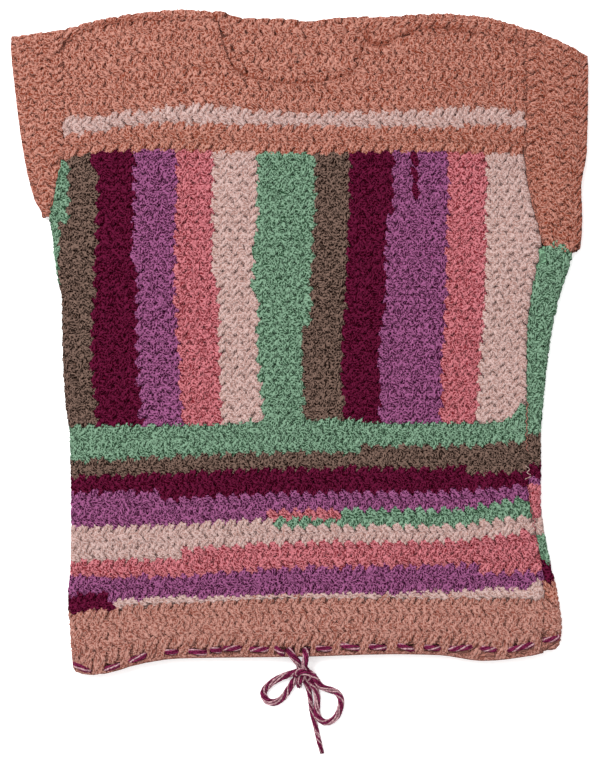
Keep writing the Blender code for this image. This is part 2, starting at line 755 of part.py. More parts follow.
def knot_clears(end, along, diameter):
    """Whether a cord's flat end, facing along, lies a seam's clearance outside the knot."""
    across = along.orthogonal().normalized()
    rim = [end] + [end + Quaternion(along, math.pi * k / 6) @ across * diameter / 2 for k in range(12)]
    middle = Vector((KNOT.x, KNOT.y, KNOT.z))
    reach = [KNOT.reach_x + SEAM, KNOT.reach_y + SEAM, KNOT.reach_z + SEAM]
    return all(sum((away / r) ** 2 for away, r in zip(point - middle, reach)) > 1 for point in rim)


def seated(points, diameter):
    """The route with its first point slid along its first run until the cord's end meets the knot."""
    first, second = Vector(points[0]), Vector(points[1])
    along = (second - first).normalized()
    end = second - along * 0.012
    while not knot_clears(end, along, diameter):
        end += along * 0.0001
    return [end, *points[1:]]


def bow(material):
    """The free part of the cord: two leads, the knot, two loops and two ends."""
    fine, coarse = CORD, 2 * CORD  # distances between a stretch's points
    for side, lead in (("left", LEAD_LEFT), ("right", LEAD_RIGHT)):
        tube(f"cord_lead_{side}", spaced(seated(lead[::-1], CORD), fine), CORD, material)
    for side, loop in (("left", LOOP_LEFT), ("right", LOOP_RIGHT)):
        both = seated(seated(loop, CORD)[::-1], CORD)
        tube(f"cord_loop_{side}", spaced(both, coarse), CORD, material)
    tube("cord_tail_long", spaced(seated(TAIL_LONG, TAIL), coarse), TAIL, material)
    tube("cord_tail_short", spaced(seated(TAIL_SHORT, TAIL), fine), TAIL, material)

    bm = bmesh.new()
    bmesh.ops.create_uvsphere(bm, u_segments=12, v_segments=7, radius=1.0)
    bmesh.ops.scale(bm, vec=(KNOT.reach_x, KNOT.reach_y, KNOT.reach_z), verts=bm.verts)
    bmesh.ops.translate(bm, vec=(KNOT.x, KNOT.y, KNOT.z), verts=bm.verts)
    mesh = bpy.data.meshes.new("cord_knot")
    bm.to_mesh(mesh)
    bm.free()
    add_object("cord_knot", mesh, material)


def build():
    for old in list(bpy.data.objects):
        bpy.data.objects.remove(old, do_unlink=True)
    materials = {
        "rose": make_material("rose_cotton", ROSE),
        "green": make_material("green_cotton", GREEN),
        "maroon": make_material("maroon_cord", MAROON),
    }
    body_panels(materials)
    hem_bands(materials)
    yokes(materials)
    sleeves(materials)
    laced_cord(materials["maroon"])
    bow(materials["maroon"])


build()
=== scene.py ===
"""A crocheted pullover laid flat on a pale floor and seen from straight above, in metres.

Each piece of cloth is worked flat, stitch by stitch, and then laid on the form of its solid. The front rolls
under at the left side. The back rolls over to the top at the right side and along both shoulders.
"""

import math
from collections import namedtuple

import bmesh
import bpy
import numpy as np
from mathutils import Matrix, Vector


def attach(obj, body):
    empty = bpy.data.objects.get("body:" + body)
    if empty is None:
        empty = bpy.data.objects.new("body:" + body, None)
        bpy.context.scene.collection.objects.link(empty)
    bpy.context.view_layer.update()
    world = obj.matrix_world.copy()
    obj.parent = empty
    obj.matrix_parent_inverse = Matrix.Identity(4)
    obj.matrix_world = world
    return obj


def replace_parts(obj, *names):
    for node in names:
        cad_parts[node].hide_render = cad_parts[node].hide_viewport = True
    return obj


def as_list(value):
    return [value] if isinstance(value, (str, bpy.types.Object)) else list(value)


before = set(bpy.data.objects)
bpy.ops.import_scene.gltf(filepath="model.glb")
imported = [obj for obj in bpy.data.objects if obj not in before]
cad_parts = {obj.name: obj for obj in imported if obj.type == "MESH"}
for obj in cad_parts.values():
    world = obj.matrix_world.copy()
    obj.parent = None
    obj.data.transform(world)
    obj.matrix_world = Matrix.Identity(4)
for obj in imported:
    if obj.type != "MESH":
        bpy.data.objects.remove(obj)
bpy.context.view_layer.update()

MM = 0.001
HAND = np.random.default_rng(7)  # the unevenness of handwork, the same each run

# ------------------------ sizes of the solids
WALL = 4.0 * MM  # thickness of the fabric
SEAM = 0.3 * MM  # clearance between neighbouring pieces
SLACK = 1.2 * MM  # space between the two layers over most of the body
CORD = 5.4 * MM  # diameter of the drawstring
TAIL = 4.2 * MM  # diameter of its worn free ends
HEM_SPACE = CORD + 2 * SEAM  # space between the layers where the cord runs inside the hem
HEM_LEVEL = 21.5 * MM  # height above the hem's edge up to which that space is full
HEM_TAPER = 47.5 * MM  # height above the hem's edge where it has closed again
LACE_LINE = 6.3 * MM  # height of the cord above the hem's edge
SLOT_WIDTH = CORD + 1.0 * MM
BACK_RUN = 11.0 * MM  # distance from the laced cord to its hidden stretch

UNDER_LEFT = 0.1067  # heights of the two underarms
UNDER_RIGHT = 0.0770
UNDER_RIGHT_SEAM = 0.0860  # the right underarm where the side seam meets it

# ------------------------ outlines and seams
SIDES = [  # heights up the body, and its left and right edge there
    (-0.3000, -0.1990, 0.2240),
    (-0.2940, -0.2040, 0.2240),
    (-0.2800, -0.2060, 0.2285),
    (-0.2740, -0.2062, 0.2345),
    (-0.2600, -0.2075, 0.2365),
    (-0.2330, -0.2090, 0.2340),
    (-0.1970, -0.2068, 0.2262),
    (-0.1430, -0.2064, 0.2180),
    (-0.0890, -0.2075, 0.2180),
    (-0.0530, -0.2118, 0.2205),
    (0.0010, -0.2145, 0.2268),
    (0.0370, -0.2148, 0.2340),
    (0.0550, -0.2183, 0.2395),
    (0.0770, -0.2215, 0.2462),
    (0.1067, -0.2255, 0.2480),
]
LEFT_EDGE = [(y, left) for y, left, _ in SIDES] + [(0.1300, -0.2400)]
RIGHT_EDGE = [(y, right) for y, _, right in SIDES]

RIGHT_SEAM = [  # heights up the right side seam and armhole, and their places there
    (-0.2900, 0.2170), (-0.2450, 0.2200), (-0.2100, 0.2195), (-0.1730, 0.2130), (-0.1300, 0.2065),
    (-0.0790, 0.2048), (-0.0080, 0.2048), (0.0450, 0.2090), (0.0600, 0.2120), (0.0770, 0.2154),
    (0.0870, 0.2174), (0.1270, 0.2084), (0.1720, 0.2022), (0.2900, 0.2020),
]
LEFT_ARMHOLE = [(0.1067, -0.2255), (0.1210, -0.2228), (0.1500, -0.2165), (0.1720, -0.2122), (0.2900, -0.2120)]
LEFT_CUFF = [
    (0.1067, -0.2280), (0.1160, -0.2322), (0.1290, -0.2392), (0.1720, -0.2490), (0.2260, -0.2562),
    (0.2670, -0.2600), (0.2760, -0.2590),
]
RIGHT_CUFF = [
    (0.0797, 0.2466), (0.0880, 0.2535), (0.1120, 0.2545), (0.1380, 0.2537), (0.1720, 0.2588),
    (0.2390, 0.2600), (0.2600, 0.2596),
]
LEFT_WRAP = [  # how far the front reaches round the left side, underneath
    (-0.3000, 0.0170), (-0.2450, 0.0165), (-0.1730, 0.0125), (-0.0530, 0.0170),
    (0.0550, 0.0260), (0.0900, 0.0150), (0.1067, 0.0070),
]

Line = namedtuple("Line", "x y")  # lines across the body, from left to right


def lines(pairs):
    return [Line(*pair) for pair in pairs]


TOP_EDGE = lines([
    (-0.2600, 0.2750), (-0.2160, 0.2815), (-0.1870, 0.2895), (-0.1440, 0.2970), (-0.1080, 0.3000),
    (-0.0720, 0.2975), (-0.0500, 0.2915), (-0.0140, 0.2912), (0.0080, 0.2885), (0.0300, 0.2915),
    (0.0720, 0.2935), (0.1250, 0.2962), (0.1590, 0.2945), (0.2020, 0.2842), (0.2310, 0.2732),
    (0.2600, 0.2580),
])
SHOULDER_LEFT = lines([
    (-0.2120, 0.2680), (-0.1886, 0.2820), (-0.1480, 0.2890), (-0.0770, 0.2910),
])
SHOULDER_RIGHT = lines([
    (0.0500, 0.2850), (0.0560, 0.2790), (0.0600, 0.2700), (0.0700, 0.2668), (0.0800, 0.2680),
    (0.0900, 0.2750), (0.1210, 0.2812), (0.1545, 0.2786), (0.2020, 0.2696),
])
NECK = lines([
    (-0.0734, 0.2880), (-0.0695, 0.2690), (-0.0590, 0.2460), (-0.0470, 0.2385), (-0.0095, 0.2320),
    (0.0077, 0.2325), (0.0310, 0.2363), (0.0470, 0.2415), (0.0550, 0.2555), (0.0600, 0.2697),
])
YOKE_LINE = lines([
    (-0.2140, 0.1634), (-0.1796, 0.1712), (-0.1346, 0.1728), (0.0185, 0.1700), (0.0905, 0.1715),
    (0.2030, 0.1688),
])
FRONT_PANEL_LINE = lines([
    (-0.2060, -0.0765), (-0.0700, -0.0748), (-0.0320, -0.0716), (0.0400, -0.0707),
    (0.0725, -0.0734), (0.1600, -0.0734), (0.2040, -0.0680),
])
BACK_PANEL_LINE = lines([(-0.2060, -0.0765), (0.2040, -0.0680)])
HEM_LINE = lines([
    (-0.2020, -0.2450), (-0.1000, -0.2380), (0.0000, -0.2338), (0.2030, -0.2350),
])
HEM_REACH = lines([  # how far up the hem's stitches reach between the panel's
    (-0.2020, -0.2450), (-0.1720, -0.2432), (-0.1580, -0.2388), (-0.1000, -0.2348),
    (0.0000, -0.2306), (0.2030, -0.2318),
])
HEM_EDGE = lines([
    (-0.2000, -0.2985), (-0.1870, -0.3000), (-0.1730, -0.2985), (-0.1440, -0.2900),
    (-0.1080, -0.2850), (0.0000, -0.2835), (0.0870, -0.2812), (0.1250, -0.2820), (0.1650, -0.2872),
    (0.2020, -0.2838), (0.2300, -0.2775),
])
LEFT_LOWER_END = lines([(-0.2320, 0.1120), (-0.2240, 0.1100)])
RIGHT_LOWER_END = lines([(0.2170, 0.0875), (0.2410, 0.0782), (0.2470, 0.0805), (0.2540, 0.0860)])
NECK_LEFT = -0.077  # the back's roll over the shoulders stops at these places
NECK_RIGHT = 0.050

Dash = namedtuple("Dash", "x y half lean lift")  # a stretch of the cord that shows, and how it lies
DASHES = [
    Dash(-0.1950, -0.2932, 0.0062, -0.45, 0.2 * MM),
    Dash(-0.1679, -0.2927, 0.0070, 0.25, -0.8 * MM),
    Dash(-0.1454, -0.2844, 0.0070, 0.38, 0.4 * MM),
    Dash(-0.1150, -0.2788, 0.0052, 0.00, -0.2 * MM),
    Dash(-0.0914, -0.2788, 0.0080, -0.12, 0.0 * MM),
    Dash(-0.0752, -0.2770, 0.0052, -0.15, -0.1 * MM),
    Dash(-0.0608, -0.2754, 0.0072, 0.05, 0.9 * MM),
    Dash(-0.0365, -0.2764, 0.0075, 0.00, 0.4 * MM),
    Dash(-0.0178, -0.2780, 0.0038, -0.80, 0.5 * MM),
    Dash(0.0216, -0.2758, 0.0065, -0.10, 0.0 * MM),
    Dash(0.0455, -0.2742, 0.0078, -0.20, 0.9 * MM),
    Dash(0.0702, -0.2745, 0.0072, -0.10, 0.1 * MM),
    Dash(0.0955, -0.2749, 0.0070, -0.35, 0.2 * MM),
    Dash(0.1192, -0.2750, 0.0065, -0.10, 0.2 * MM),
    Dash(0.1445, -0.2752, 0.0098, 0.10, 0.6 * MM),
    Dash(0.1697, -0.2762, 0.0065, -0.10, 0.2 * MM),
    Dash(0.1985, -0.2745, 0.0112, 0.24, 0.4 * MM),
    Dash(0.2262, -0.2672, 0.0056, 0.20, 0.4 * MM),
]
EXITS = (Dash(-0.0090, -0.2772, 0.0045, 0.0, 0.0), Dash(0.0052, -0.2772, 0.0045, 0.0, 0.0))
LACE = sorted([(dash.x, dash.y) for dash in [*DASHES, *EXITS]])  # the line that the cord is laced along
SLOTS = sorted([*DASHES[1:-1], *EXITS])  # the holes in the front of the hem
SLOT_ENDS = [x for slot in SLOTS for x in (slot.x - slot.half, slot.x + slot.half)]

# ------------------------ folds
Fold = namedtuple("Fold", "x0 y0 x1 y1 width height")  # a soft ridge, or a trough below 0
FORM_FOLDS = [  # the largest ones, which the solids have too
    Fold(-0.236, 0.262, -0.228, 0.160, 0.018, 0.0022),
    Fold(0.234, 0.250, 0.236, 0.110, 0.020, 0.0028),
    Fold(-0.150, 0.262, -0.050, 0.215, 0.022, 0.0014),
    Fold(0.080, 0.262, 0.190, 0.240, 0.024, 0.0020),
    Fold(-0.190, 0.080, -0.090, 0.010, 0.026, 0.0016),
    Fold(0.190, 0.060, 0.120, -0.040, 0.028, 0.0018),
    Fold(-0.030, 0.130, 0.030, 0.030, 0.030, 0.0012),
    Fold(-0.185, -0.120, -0.080, -0.150, 0.024, 0.0016),
    Fold(0.195, -0.150, 0.060, -0.190, 0.026, 0.0018),
]
FRONT_FOLDS = [  # finer ones of the front
    Fold(0.196, 0.090, 0.160, 0.055, 0.012, 0.0012),
    Fold(0.205, 0.120, 0.170, 0.098, 0.010, -0.0007),
    Fold(-0.205, 0.130, -0.168, 0.104, 0.011, -0.0008),
    Fold(-0.196, 0.110, -0.150, 0.078, 0.013, 0.0010),
    Fold(-0.070, 0.225, -0.098, 0.190, 0.012, 0.0009),
    Fold(0.058, 0.228, 0.082, 0.196, 0.013, 0.0010),
    Fold(0.110, 0.262, 0.170, 0.255, 0.012, -0.0008),
    Fold(-0.110, -0.060, -0.060, -0.092, 0.014, 0.0010),
    Fold(0.150, -0.090, 0.190, -0.060, 0.012, -0.0007),
    Fold(0.020, -0.200, 0.080, -0.216, 0.013, 0.0009),
    Fold(-0.150, -0.215, -0.190, -0.190, 0.012, 0.0011),
    Fold(0.178, -0.225, 0.205, -0.198, 0.012, -0.0008),
]
BACK_FOLDS = [  # those of the back, which lift the front with it
    Fold(-0.150, 0.230, -0.090, 0.180, 0.016, 0.0011),
    Fold(0.130, 0.210, 0.170, 0.160, 0.018, 0.0012),
    Fold(-0.120, 0.060, -0.070, -0.010, 0.020, 0.0010),
    Fold(0.060, 0.090, 0.120, 0.020, 0.018, 0.0012),
    Fold(-0.040, -0.120, 0.030, -0.160, 0.020, 0.0010),
    Fold(0.110, -0.120, 0.160, -0.180, 0.016, 0.0009),
    Fold(-0.002, 0.286, -0.006, 0.236, 0.007, 0.0016),
    Fold(-0.160, -0.170, -0.110, -0.200, 0.016, 0.0010),
]
SEAM_DIP = 0.9 * MM  # how far the front sinks along the seam at the right
SEAM_REACH = 6.0 * MM
SLANT_WIDTH = 24.0 * MM  # from the right edge to the risen seam under the arm
SLANT_FADE = 30.0 * MM  # the height over which that rise fades, further down

PROUD = 1.0 * MM  # how far the stitches stand out of the solid on top, and not where it rests
INNER_PROUD = 2.0 * MM  # the same on the back's inner face
INNER_LEFT = 1.8 * MM  # and how much more at the left end of the neckline
INNER_LEFT_REACH = 16.0 * MM

PASSES = 4  # times that a place on a slanting line is worked out again
SLEEVE_PLACES = 9  # places along a sleeve at which its two ends are worked out
SLEEVE_HEIGHTS = (0.25, UNDER_LEFT)  # its upper and lower end, before they are worked out
ARMHOLE_GAP = 0.5 * MM  # from the armhole's line to the sleeve


# ------------------------ the form
def smooth(rows, at):
    """The second column of a table at values of its first, smooth and without overshoot."""
    places, values = (np.array(column, float) for column in zip(*rows))
    slopes = np.diff(values) / np.diff(places)
    before, after = slopes[:-1], slopes[1:]
    same_way = before * after > 0
    inner = np.where(same_way, 2 * before * after / np.where(same_way, before + after, 1.0), 0.0)
    lean = np.concatenate([slopes[:1], inner, slopes[-1:]])
    at = np.clip(at, places[0], places[-1])
    k = np.clip(np.searchsorted(places, at, side="right") - 1, 0, len(slopes) - 1)
    span = places[k + 1] - places[k]
    t = (at - places[k]) / span
    rise = values[k + 1] - values[k]
    bend = t * (1 - t) * ((1 - t) * (lean[k] * span - rise) + t * (rise - lean[k + 1] * span))
    return values[k] + rise * t + bend


def mix(a, b, t):
    return a + (b - a) * t


def soft_step(t):
    t = np.clip(t, 0.0, 1.0)
    return t * t * (3 - 2 * t)


def fold_height(folds, x, y):
    """The sum of soft ridges and troughs, each fading at its ends."""
    total = 0.0 * x
    for fold in folds:
        dx, dy = fold.x1 - fold.x0, fold.y1 - fold.y0
        length = math.hypot(dx, dy)
        along = ((x - fold.x0) * dx + (y - fold.y0) * dy) / length
        across = ((x - fold.x0) * dy - (y - fold.y0) * dx) / length
        past = np.maximum(0.0, np.maximum(-along, along - length))
        total = total + fold.height * np.exp(-(across**2 + past**2) / fold.width**2)
    return total


def layer_space(x, y):
    """The space between the back layer and the front layer."""
    lift = SLACK + fold_height(FORM_FOLDS, x, y)
    above = y - smooth(HEM_EDGE, x)
    hem = soft_step((HEM_TAPER - above) / (HEM_TAPER - HEM_LEVEL))
    return mix(lift, HEM_SPACE, hem)


def top_height(x, y):
    """The upper face of the top layer."""
    off_seam = (x - smooth(RIGHT_SEAM, y)) / SEAM_REACH
    dip = SEAM_DIP * np.exp(-(off_seam**2))
    folds = fold_height(FRONT_FOLDS, x, y) + fold_height(BACK_FOLDS, x, y)
    return 2 * WALL + layer_space(x, y) + folds - dip


def roll_radius(x, y, way_x, way_y):
    """Half the distance between the two layers' middles just inside an edge."""
    inside = WALL + SLACK / 2
    return (WALL + layer_space(x - way_x * inside, y - way_y * inside)) / 2


def left_roll(y):
    """Where the roll of the left side starts, and its radius."""
    edge = smooth(LEFT_EDGE, y)
    radius = roll_radius(edge, y, -1, 0)
    return edge + WALL / 2 + radius, radius


def right_roll(y):
    edge = smooth(RIGHT_EDGE, y)
    radius = roll_radius(edge, y, 1, 0)
    return edge - WALL / 2 - radius, radius


def top_roll(x):
    edge = smooth(TOP_EDGE, x)
    radius = roll_radius(x, edge, 0, 1)
    return edge - WALL / 2 - radius, radius


def settle(w, under):
    """Heights above the solid's face, pressed in by as much as the cloth lies underneath, from 0 to 1."""
    return w - PROUD * under * np.clip(1 + w / WALL, 0.0, 1.0)


def on_top(x, y, w):
    step = 1.0 * MM
    z = top_height(x, y)
    lean_x = (top_height(x + step, y) - top_height(x - step, y)) / (2 * step)
    lean_y = (top_height(x, y + step) - top_height(x, y - step)) / (2 * step)
    size = np.sqrt(lean_x**2 + lean_y**2 + 1)
    return x - w * lean_x / size, y - w * lean_y / size, z + w / size


def underneath(x, y, w):
    return x, y, fold_height(BACK_FOLDS, x, y) - settle(w, 1.0)


def bend(over, radius):
    """The angle of a spot on a roll, and how far past the roll it is."""
    reach = radius + WALL / 2
    angle = np.clip(over / reach, 0.0, math.pi)
    return angle, np.maximum(0.0, over - math.pi * reach), reach


def lay_front(u, y, w):
    """The front: on top, round the left side and a little way underneath."""
    start, radius = left_roll(y)
    angle, past, reach = bend(start - u, radius)
    x, top_y, z = on_top(np.maximum(u, start), y, w)
    w = settle(w, (1 - np.cos(angle)) / 2)
    step = (top_height(start, y) - WALL - 2 * radius) * (1 + np.cos(angle)) / 2
    lift = fold_height(BACK_FOLDS, start + past, y) * (1 - np.cos(angle)) / 2
    on_roll = u < start
    return (
        np.where(on_roll, start - (reach + w) * np.sin(angle) + past, x),
        np.where(on_roll, y, top_y),
        np.where(on_roll, WALL / 2 + radius + (reach + w) * np.cos(angle) + step + lift, z),
    )


def back_slant(x, y):
    """The wrapped part of the back rises to its seam under the right arm."""
    toward_seam = soft_step((smooth(RIGHT_EDGE, y) - x) / SLANT_WIDTH)
    below_arm = np.maximum(0, UNDER_RIGHT - y)
    return (UNDER_RIGHT_SEAM - UNDER_RIGHT) * toward_seam * np.exp(-below_arm / SLANT_FADE)


def roll_up(at, start, radius, w):
    """A flat place of the back as seen from above, its height on an even roll, and how far it has rolled."""
    angle, past, reach = bend(at - start, radius)
    wrapped = (1 - np.cos(angle)) / 2
    w = settle(w, 1 - wrapped)
    place = np.where(at < start, at, start + (reach + w) * np.sin(angle) - past)
    return place, WALL / 2 + radius - (reach + w) * np.cos(angle), wrapped, past


def rolled_height(x, y, radius, even_height, wrapped):
    """The height on a roll that meets the folds below it and the layers' heights above."""
    step = (top_height(x, y) - WALL - 2 * radius) * wrapped
    return even_height + step + fold_height(BACK_FOLDS, x, y) * (1 - wrapped)


def lay_back(u, y, w):
    """The back: underneath, round the right side and on top as far as the side seam."""
    start, radius = right_roll(y)
    x, even_height, wrapped, past = roll_up(u, start, radius, w)
    y = y + back_slant(x, y) * (past > 0)
    return x, y, rolled_height(x, y, radius, even_height, wrapped)


def lay_shoulder(x, v, w):
    """The back at a shoulder: underneath, up over the top edge and down to the shoulder seam."""
    start, radius = top_roll(x)
    y, even_height, wrapped, _ = roll_up(v, start, radius, w)
    return x, y, rolled_height(x, y, radius, even_height, wrapped)


def lay_inside(x, y, w):
    """The inner face of the back, seen through the neck."""
    proud = INNER_PROUD + INNER_LEFT * np.exp(-(((x - NECK_LEFT) / INNER_LEFT_REACH) ** 2))
    return x, y, WALL + fold_height(BACK_FOLDS, x, y) + w + proud


def shoulder_flat(x):
    """The flat height of the shoulder seam, measured up the back and over the roll."""
    start, radius = top_roll(x)
    seam = np.where(x < 0, smooth(SHOULDER_LEFT, x), smooth(SHOULDER_RIGHT, x))
    return start + math.pi * (radius + WALL / 2) + start - seam


def front_left(y):
    """The flat place of the front's left border: the armhole, or its seam underneath."""
    start, radius = left_roll(y)
    wrapped = smooth(LEFT_EDGE, y) + smooth(LEFT_WRAP, y) - start
    under = start - math.pi * (radius + WALL / 2) - wrapped
    return np.where(y > UNDER_LEFT, smooth(LEFT_ARMHOLE, y) + SEAM / 2, under)


def back_left(y):
    below = smooth(LEFT_EDGE, y) + smooth(LEFT_WRAP, y)
    return np.where(y > UNDER_LEFT, smooth(LEFT_ARMHOLE, y), below) + SEAM / 2


def back_right(y):
    """The flat place of the back's right border: the armhole, or the side seam on top."""
    start, radius = right_roll(y)
    over = start + math.pi * (radius + WALL / 2) + start - smooth(RIGHT_SEAM, y)
    return np.where(y > UNDER_RIGHT_SEAM, smooth(RIGHT_SEAM, y), over) - SEAM / 2


def front_right(y):
    return smooth(RIGHT_SEAM, y) - SEAM / 2


def front_top_edge(x):
    """The front's upper edge: the shoulder seams and the neckline between them."""
    shoulders = np.where(x < 0, smooth(SHOULDER_LEFT, x), smooth(SHOULDER_RIGHT, x))
    return np.where((x <= NECK_LEFT) | (x >= NECK[-1].x), shoulders, smooth(NECK, x))


class Sleeve:
    """A flat tube from the armhole to the cuff."""

    def __init__(self, armhole, cuff, lower_end, outward):
        self.armhole, self.cuff, self.outward = armhole, cuff, outward
        self.shares = np.linspace(0, 1, SLEEVE_PLACES)
        high_x, low_x = (mix(smooth(armhole, y), smooth(cuff, y), self.shares) for y in SLEEVE_HEIGHTS)
        for _ in range(PASSES):
            high_y, low_y = smooth(TOP_EDGE, high_x), smooth(lower_end, low_x)
            high_x, low_x = self.across(high_y, self.shares), self.across(low_y, self.shares)
        self.radius_high = roll_radius(high_x, high_y, 0, 1)
        self.radius_low = roll_radius(low_x, low_y, 0, -1)
        self.high = high_y - WALL / 2 - self.radius_high
        self.low = low_y + WALL / 2 + self.radius_low

    def across(self, y, s):
        return mix(smooth(self.armhole, y) + self.outward * ARMHOLE_GAP, smooth(self.cuff, y), s)

    def width(self, y):
        return np.abs(smooth(self.cuff, y) - smooth(self.armhole, y))

    def along(self, values, s):
        return np.interp(s, self.shares, values)

    def way_round(self, s):
        height = self.along(self.high - self.low, s)
        return 2 * height + math.pi * (self.along(self.radius_high + self.radius_low, s) + WALL)

    def height_at(self, s, far):
        """The height in the view of a spot that is this far round from the lower end."""
        low, high = self.along(self.low, s), self.along(self.high, s)
        turn = math.pi * (self.along(self.radius_high, s) + WALL / 2)
        far = far % self.way_round(s)
        down = far - (high - low) - turn
        return np.clip(np.where(far < high - low + turn, low + far, high - down), low, high)

    def lay(self, s, far, w):
        """s is the share of the way to the cuff, and far the distance round from the lower end."""
        low, high = self.along(self.low, s), self.along(self.high, s)
        upper, lower = self.along(self.radius_high, s), self.along(self.radius_low, s)
        height, turn = high - low, math.pi * (upper + WALL / 2)
        far = far % self.way_round(s)
        up, past, reach = bend(far - height, upper)
        down, _, low_reach = bend(far - 2 * height - turn, lower)
        under = (1 - np.cos(up)) / 2 - (1 - np.cos(down)) / 2
        w = settle(w, under)
        y = np.where(
            far < height + turn,
            np.minimum(low + far, high) + (reach + w) * np.sin(up),
            high - np.minimum(past, height) - (low_reach + w) * np.sin(down),
        )
        x = self.across(np.clip(y, low, high), s)
        step_high = (top_height(x, high) - WALL - 2 * upper) * (1 + np.cos(up)) / 2
        step_low = (top_height(x, low) - WALL - 2 * lower) * (1 - np.cos(down)) / 2
        rolled_high = WALL / 2 + upper + (reach + w) * np.cos(up) + step_high
        rolled_low = WALL / 2 + lower - (low_reach + w) * np.cos(down) + step_low
        rolled = np.where(far < height + turn, rolled_high, rolled_low)
        return x, y, np.where(far < height, top_height(x, y) + w, rolled)


SLEEVES = {
    "sleeve_left": Sleeve(LEFT_ARMHOLE, LEFT_CUFF, LEFT_LOWER_END, -1),
    "sleeve_right": Sleeve(RIGHT_SEAM, RIGHT_CUFF, RIGHT_LOWER_END, 1),
}


# ------------------------ finishes
class Value:
    """A socket of a material's nodes that can be used in arithmetic."""

    def __init__(self, tree, socket):
        self.tree, self.socket = tree, socket

    def maths(self, operation, *others):
        node = self.tree.nodes.new("ShaderNodeMath")
        node.operation = operation
        for place, value in zip(node.inputs, others):
            if isinstance(value, Value):
                self.tree.links.new(value.socket, place)
            else:
                place.default_value = value
        return Value(self.tree, node.outputs[0])

    def __add__(self, other):
        return self.maths("ADD", self, other)

    def __sub__(self, other):
        return self.maths("SUBTRACT", self, other)

    def __rsub__(self, other):
        return self.maths("SUBTRACT", other, self)

    def __mul__(self, other):
        return self.maths("MULTIPLY", self, other)

    __radd__ = __add__
    __rmul__ = __mul__

    def wave(self):
        """From 0 to 1 and back for each whole number."""
        angle = self * math.tau
        return self.maths("COSINE", angle) * 0.5 + 0.5


class Finish:
    """A material built up on one Principled shader."""

    def __init__(self, name, roughness, specular=0.3):
        self.material = bpy.data.materials.new(name)
        self.material.use_nodes = True
        self.tree = self.material.node_tree
        self.shader = self.tree.nodes["Principled BSDF"]
        self.shader.inputs["Roughness"].default_value = roughness
        self.shader.inputs["Specular IOR Level"].default_value = specular

    def node(self, kind, settings=(), values=(), out=0):
        node = self.tree.nodes.new(kind)
        for key, setting in dict(settings).items():
            setattr(node, key, setting)
        for key, value in dict(values).items():
            if isinstance(value, Value):
                self.tree.links.new(value.socket, node.inputs[key])
            else:
                node.inputs[key].default_value = value
        return Value(self.tree, node.outputs[out])

    def feed(self, socket, value):
        self.tree.links.new(value.socket, self.shader.inputs[socket])

    def noise(self, scale, detail=2.0):
        place = self.node("ShaderNodeTexCoord", out="Object")
        return self.node("ShaderNodeTexNoise", values={"Vector": place, "Scale": scale, "Detail": detail})

    def shade(self, dark, light, factor):
        """A colour between two others."""
        ends = {"A": (*dark, 1.0), "B": (*light, 1.0)}
        node = self.tree.nodes.new("ShaderNodeMix")
        node.data_type = "RGBA"
        colours = [socket for socket in node.inputs if socket.type == "RGBA"]
        for socket in colours:
            socket.default_value = ends[socket.name]
        self.tree.links.new(factor.socket, node.inputs["Factor"])
        return Value(self.tree, next(s for s in node.outputs if s.type == "RGBA"))


LitAndShaded = namedtuple("LitAndShaded", "light dark")  # a yarn's lit strands, and the painted shade of the grooves between them
YARNS = {
    "rose": LitAndShaded((0.462, 0.214, 0.167), (0.176, 0.034, 0.016)),
    "cream": LitAndShaded((0.512, 0.362, 0.337), (0.318, 0.176, 0.150)),
    "taupe": LitAndShaded((0.172, 0.109, 0.086), (0.004, 0.001, 0.0005)),
    "maroon": LitAndShaded((0.106, 0.0076, 0.0315), (0.018, 0.0001, 0.0020)),
    "purple": LitAndShaded((0.291, 0.088, 0.206), (0.028, 0.001, 0.015)),
    "coral": LitAndShaded((0.516, 0.165, 0.189), (0.145, 0.012, 0.017)),
    "green": LitAndShaded((0.190, 0.313, 0.214), (0.014, 0.042, 0.019)),
    "dusty rose": LitAndShaded((0.446, 0.226, 0.186), (0.200, 0.058, 0.040)),
    "cord maroon": LitAndShaded((0.218, 0.022, 0.080), (0.072, 0.006, 0.020)),
    "cord pink": LitAndShaded((0.580, 0.350, 0.380), (0.215, 0.075, 0.105)),
}
CLOTH_YARNS = ["rose", "cream", "taupe", "maroon", "purple", "coral", "green", "dusty rose"]
NUMBER = {name: k for k, name in enumerate(CLOTH_YARNS)}
STRAND_PLIES = 5  # ridges round a strand of yarn
KINK = 360.0  # how fine the kinks of its plies are
KINK_SWAY = 1.4  # and how far they stray, in plies
CRIMP = 320.0  # how fine its crimp is
CRIMP_LINES = 2.7
CRIMP_SHARE = 0.58  # the crimp's share of the relief, beside the grooves between the plies
FUZZ = 1100.0  # how fine its loose fibres are
FUZZ_TONE = 0.5
# the middle and the spread of the painted shade and highlight, which follow the relief
MIDDLE_TONE = 0.61
CONTRAST = 1.75
YARN_RELIEF = 0.7 * MM
GROUND_RELIEF = 0.8 * MM
GROUND_DARK = 0.40  # painted shade: the darkest places between the stitches, as a share of the lightest
DEEP = 1.25  # painted light: how much fuller the colour is made there, for light that bounces through the yarn
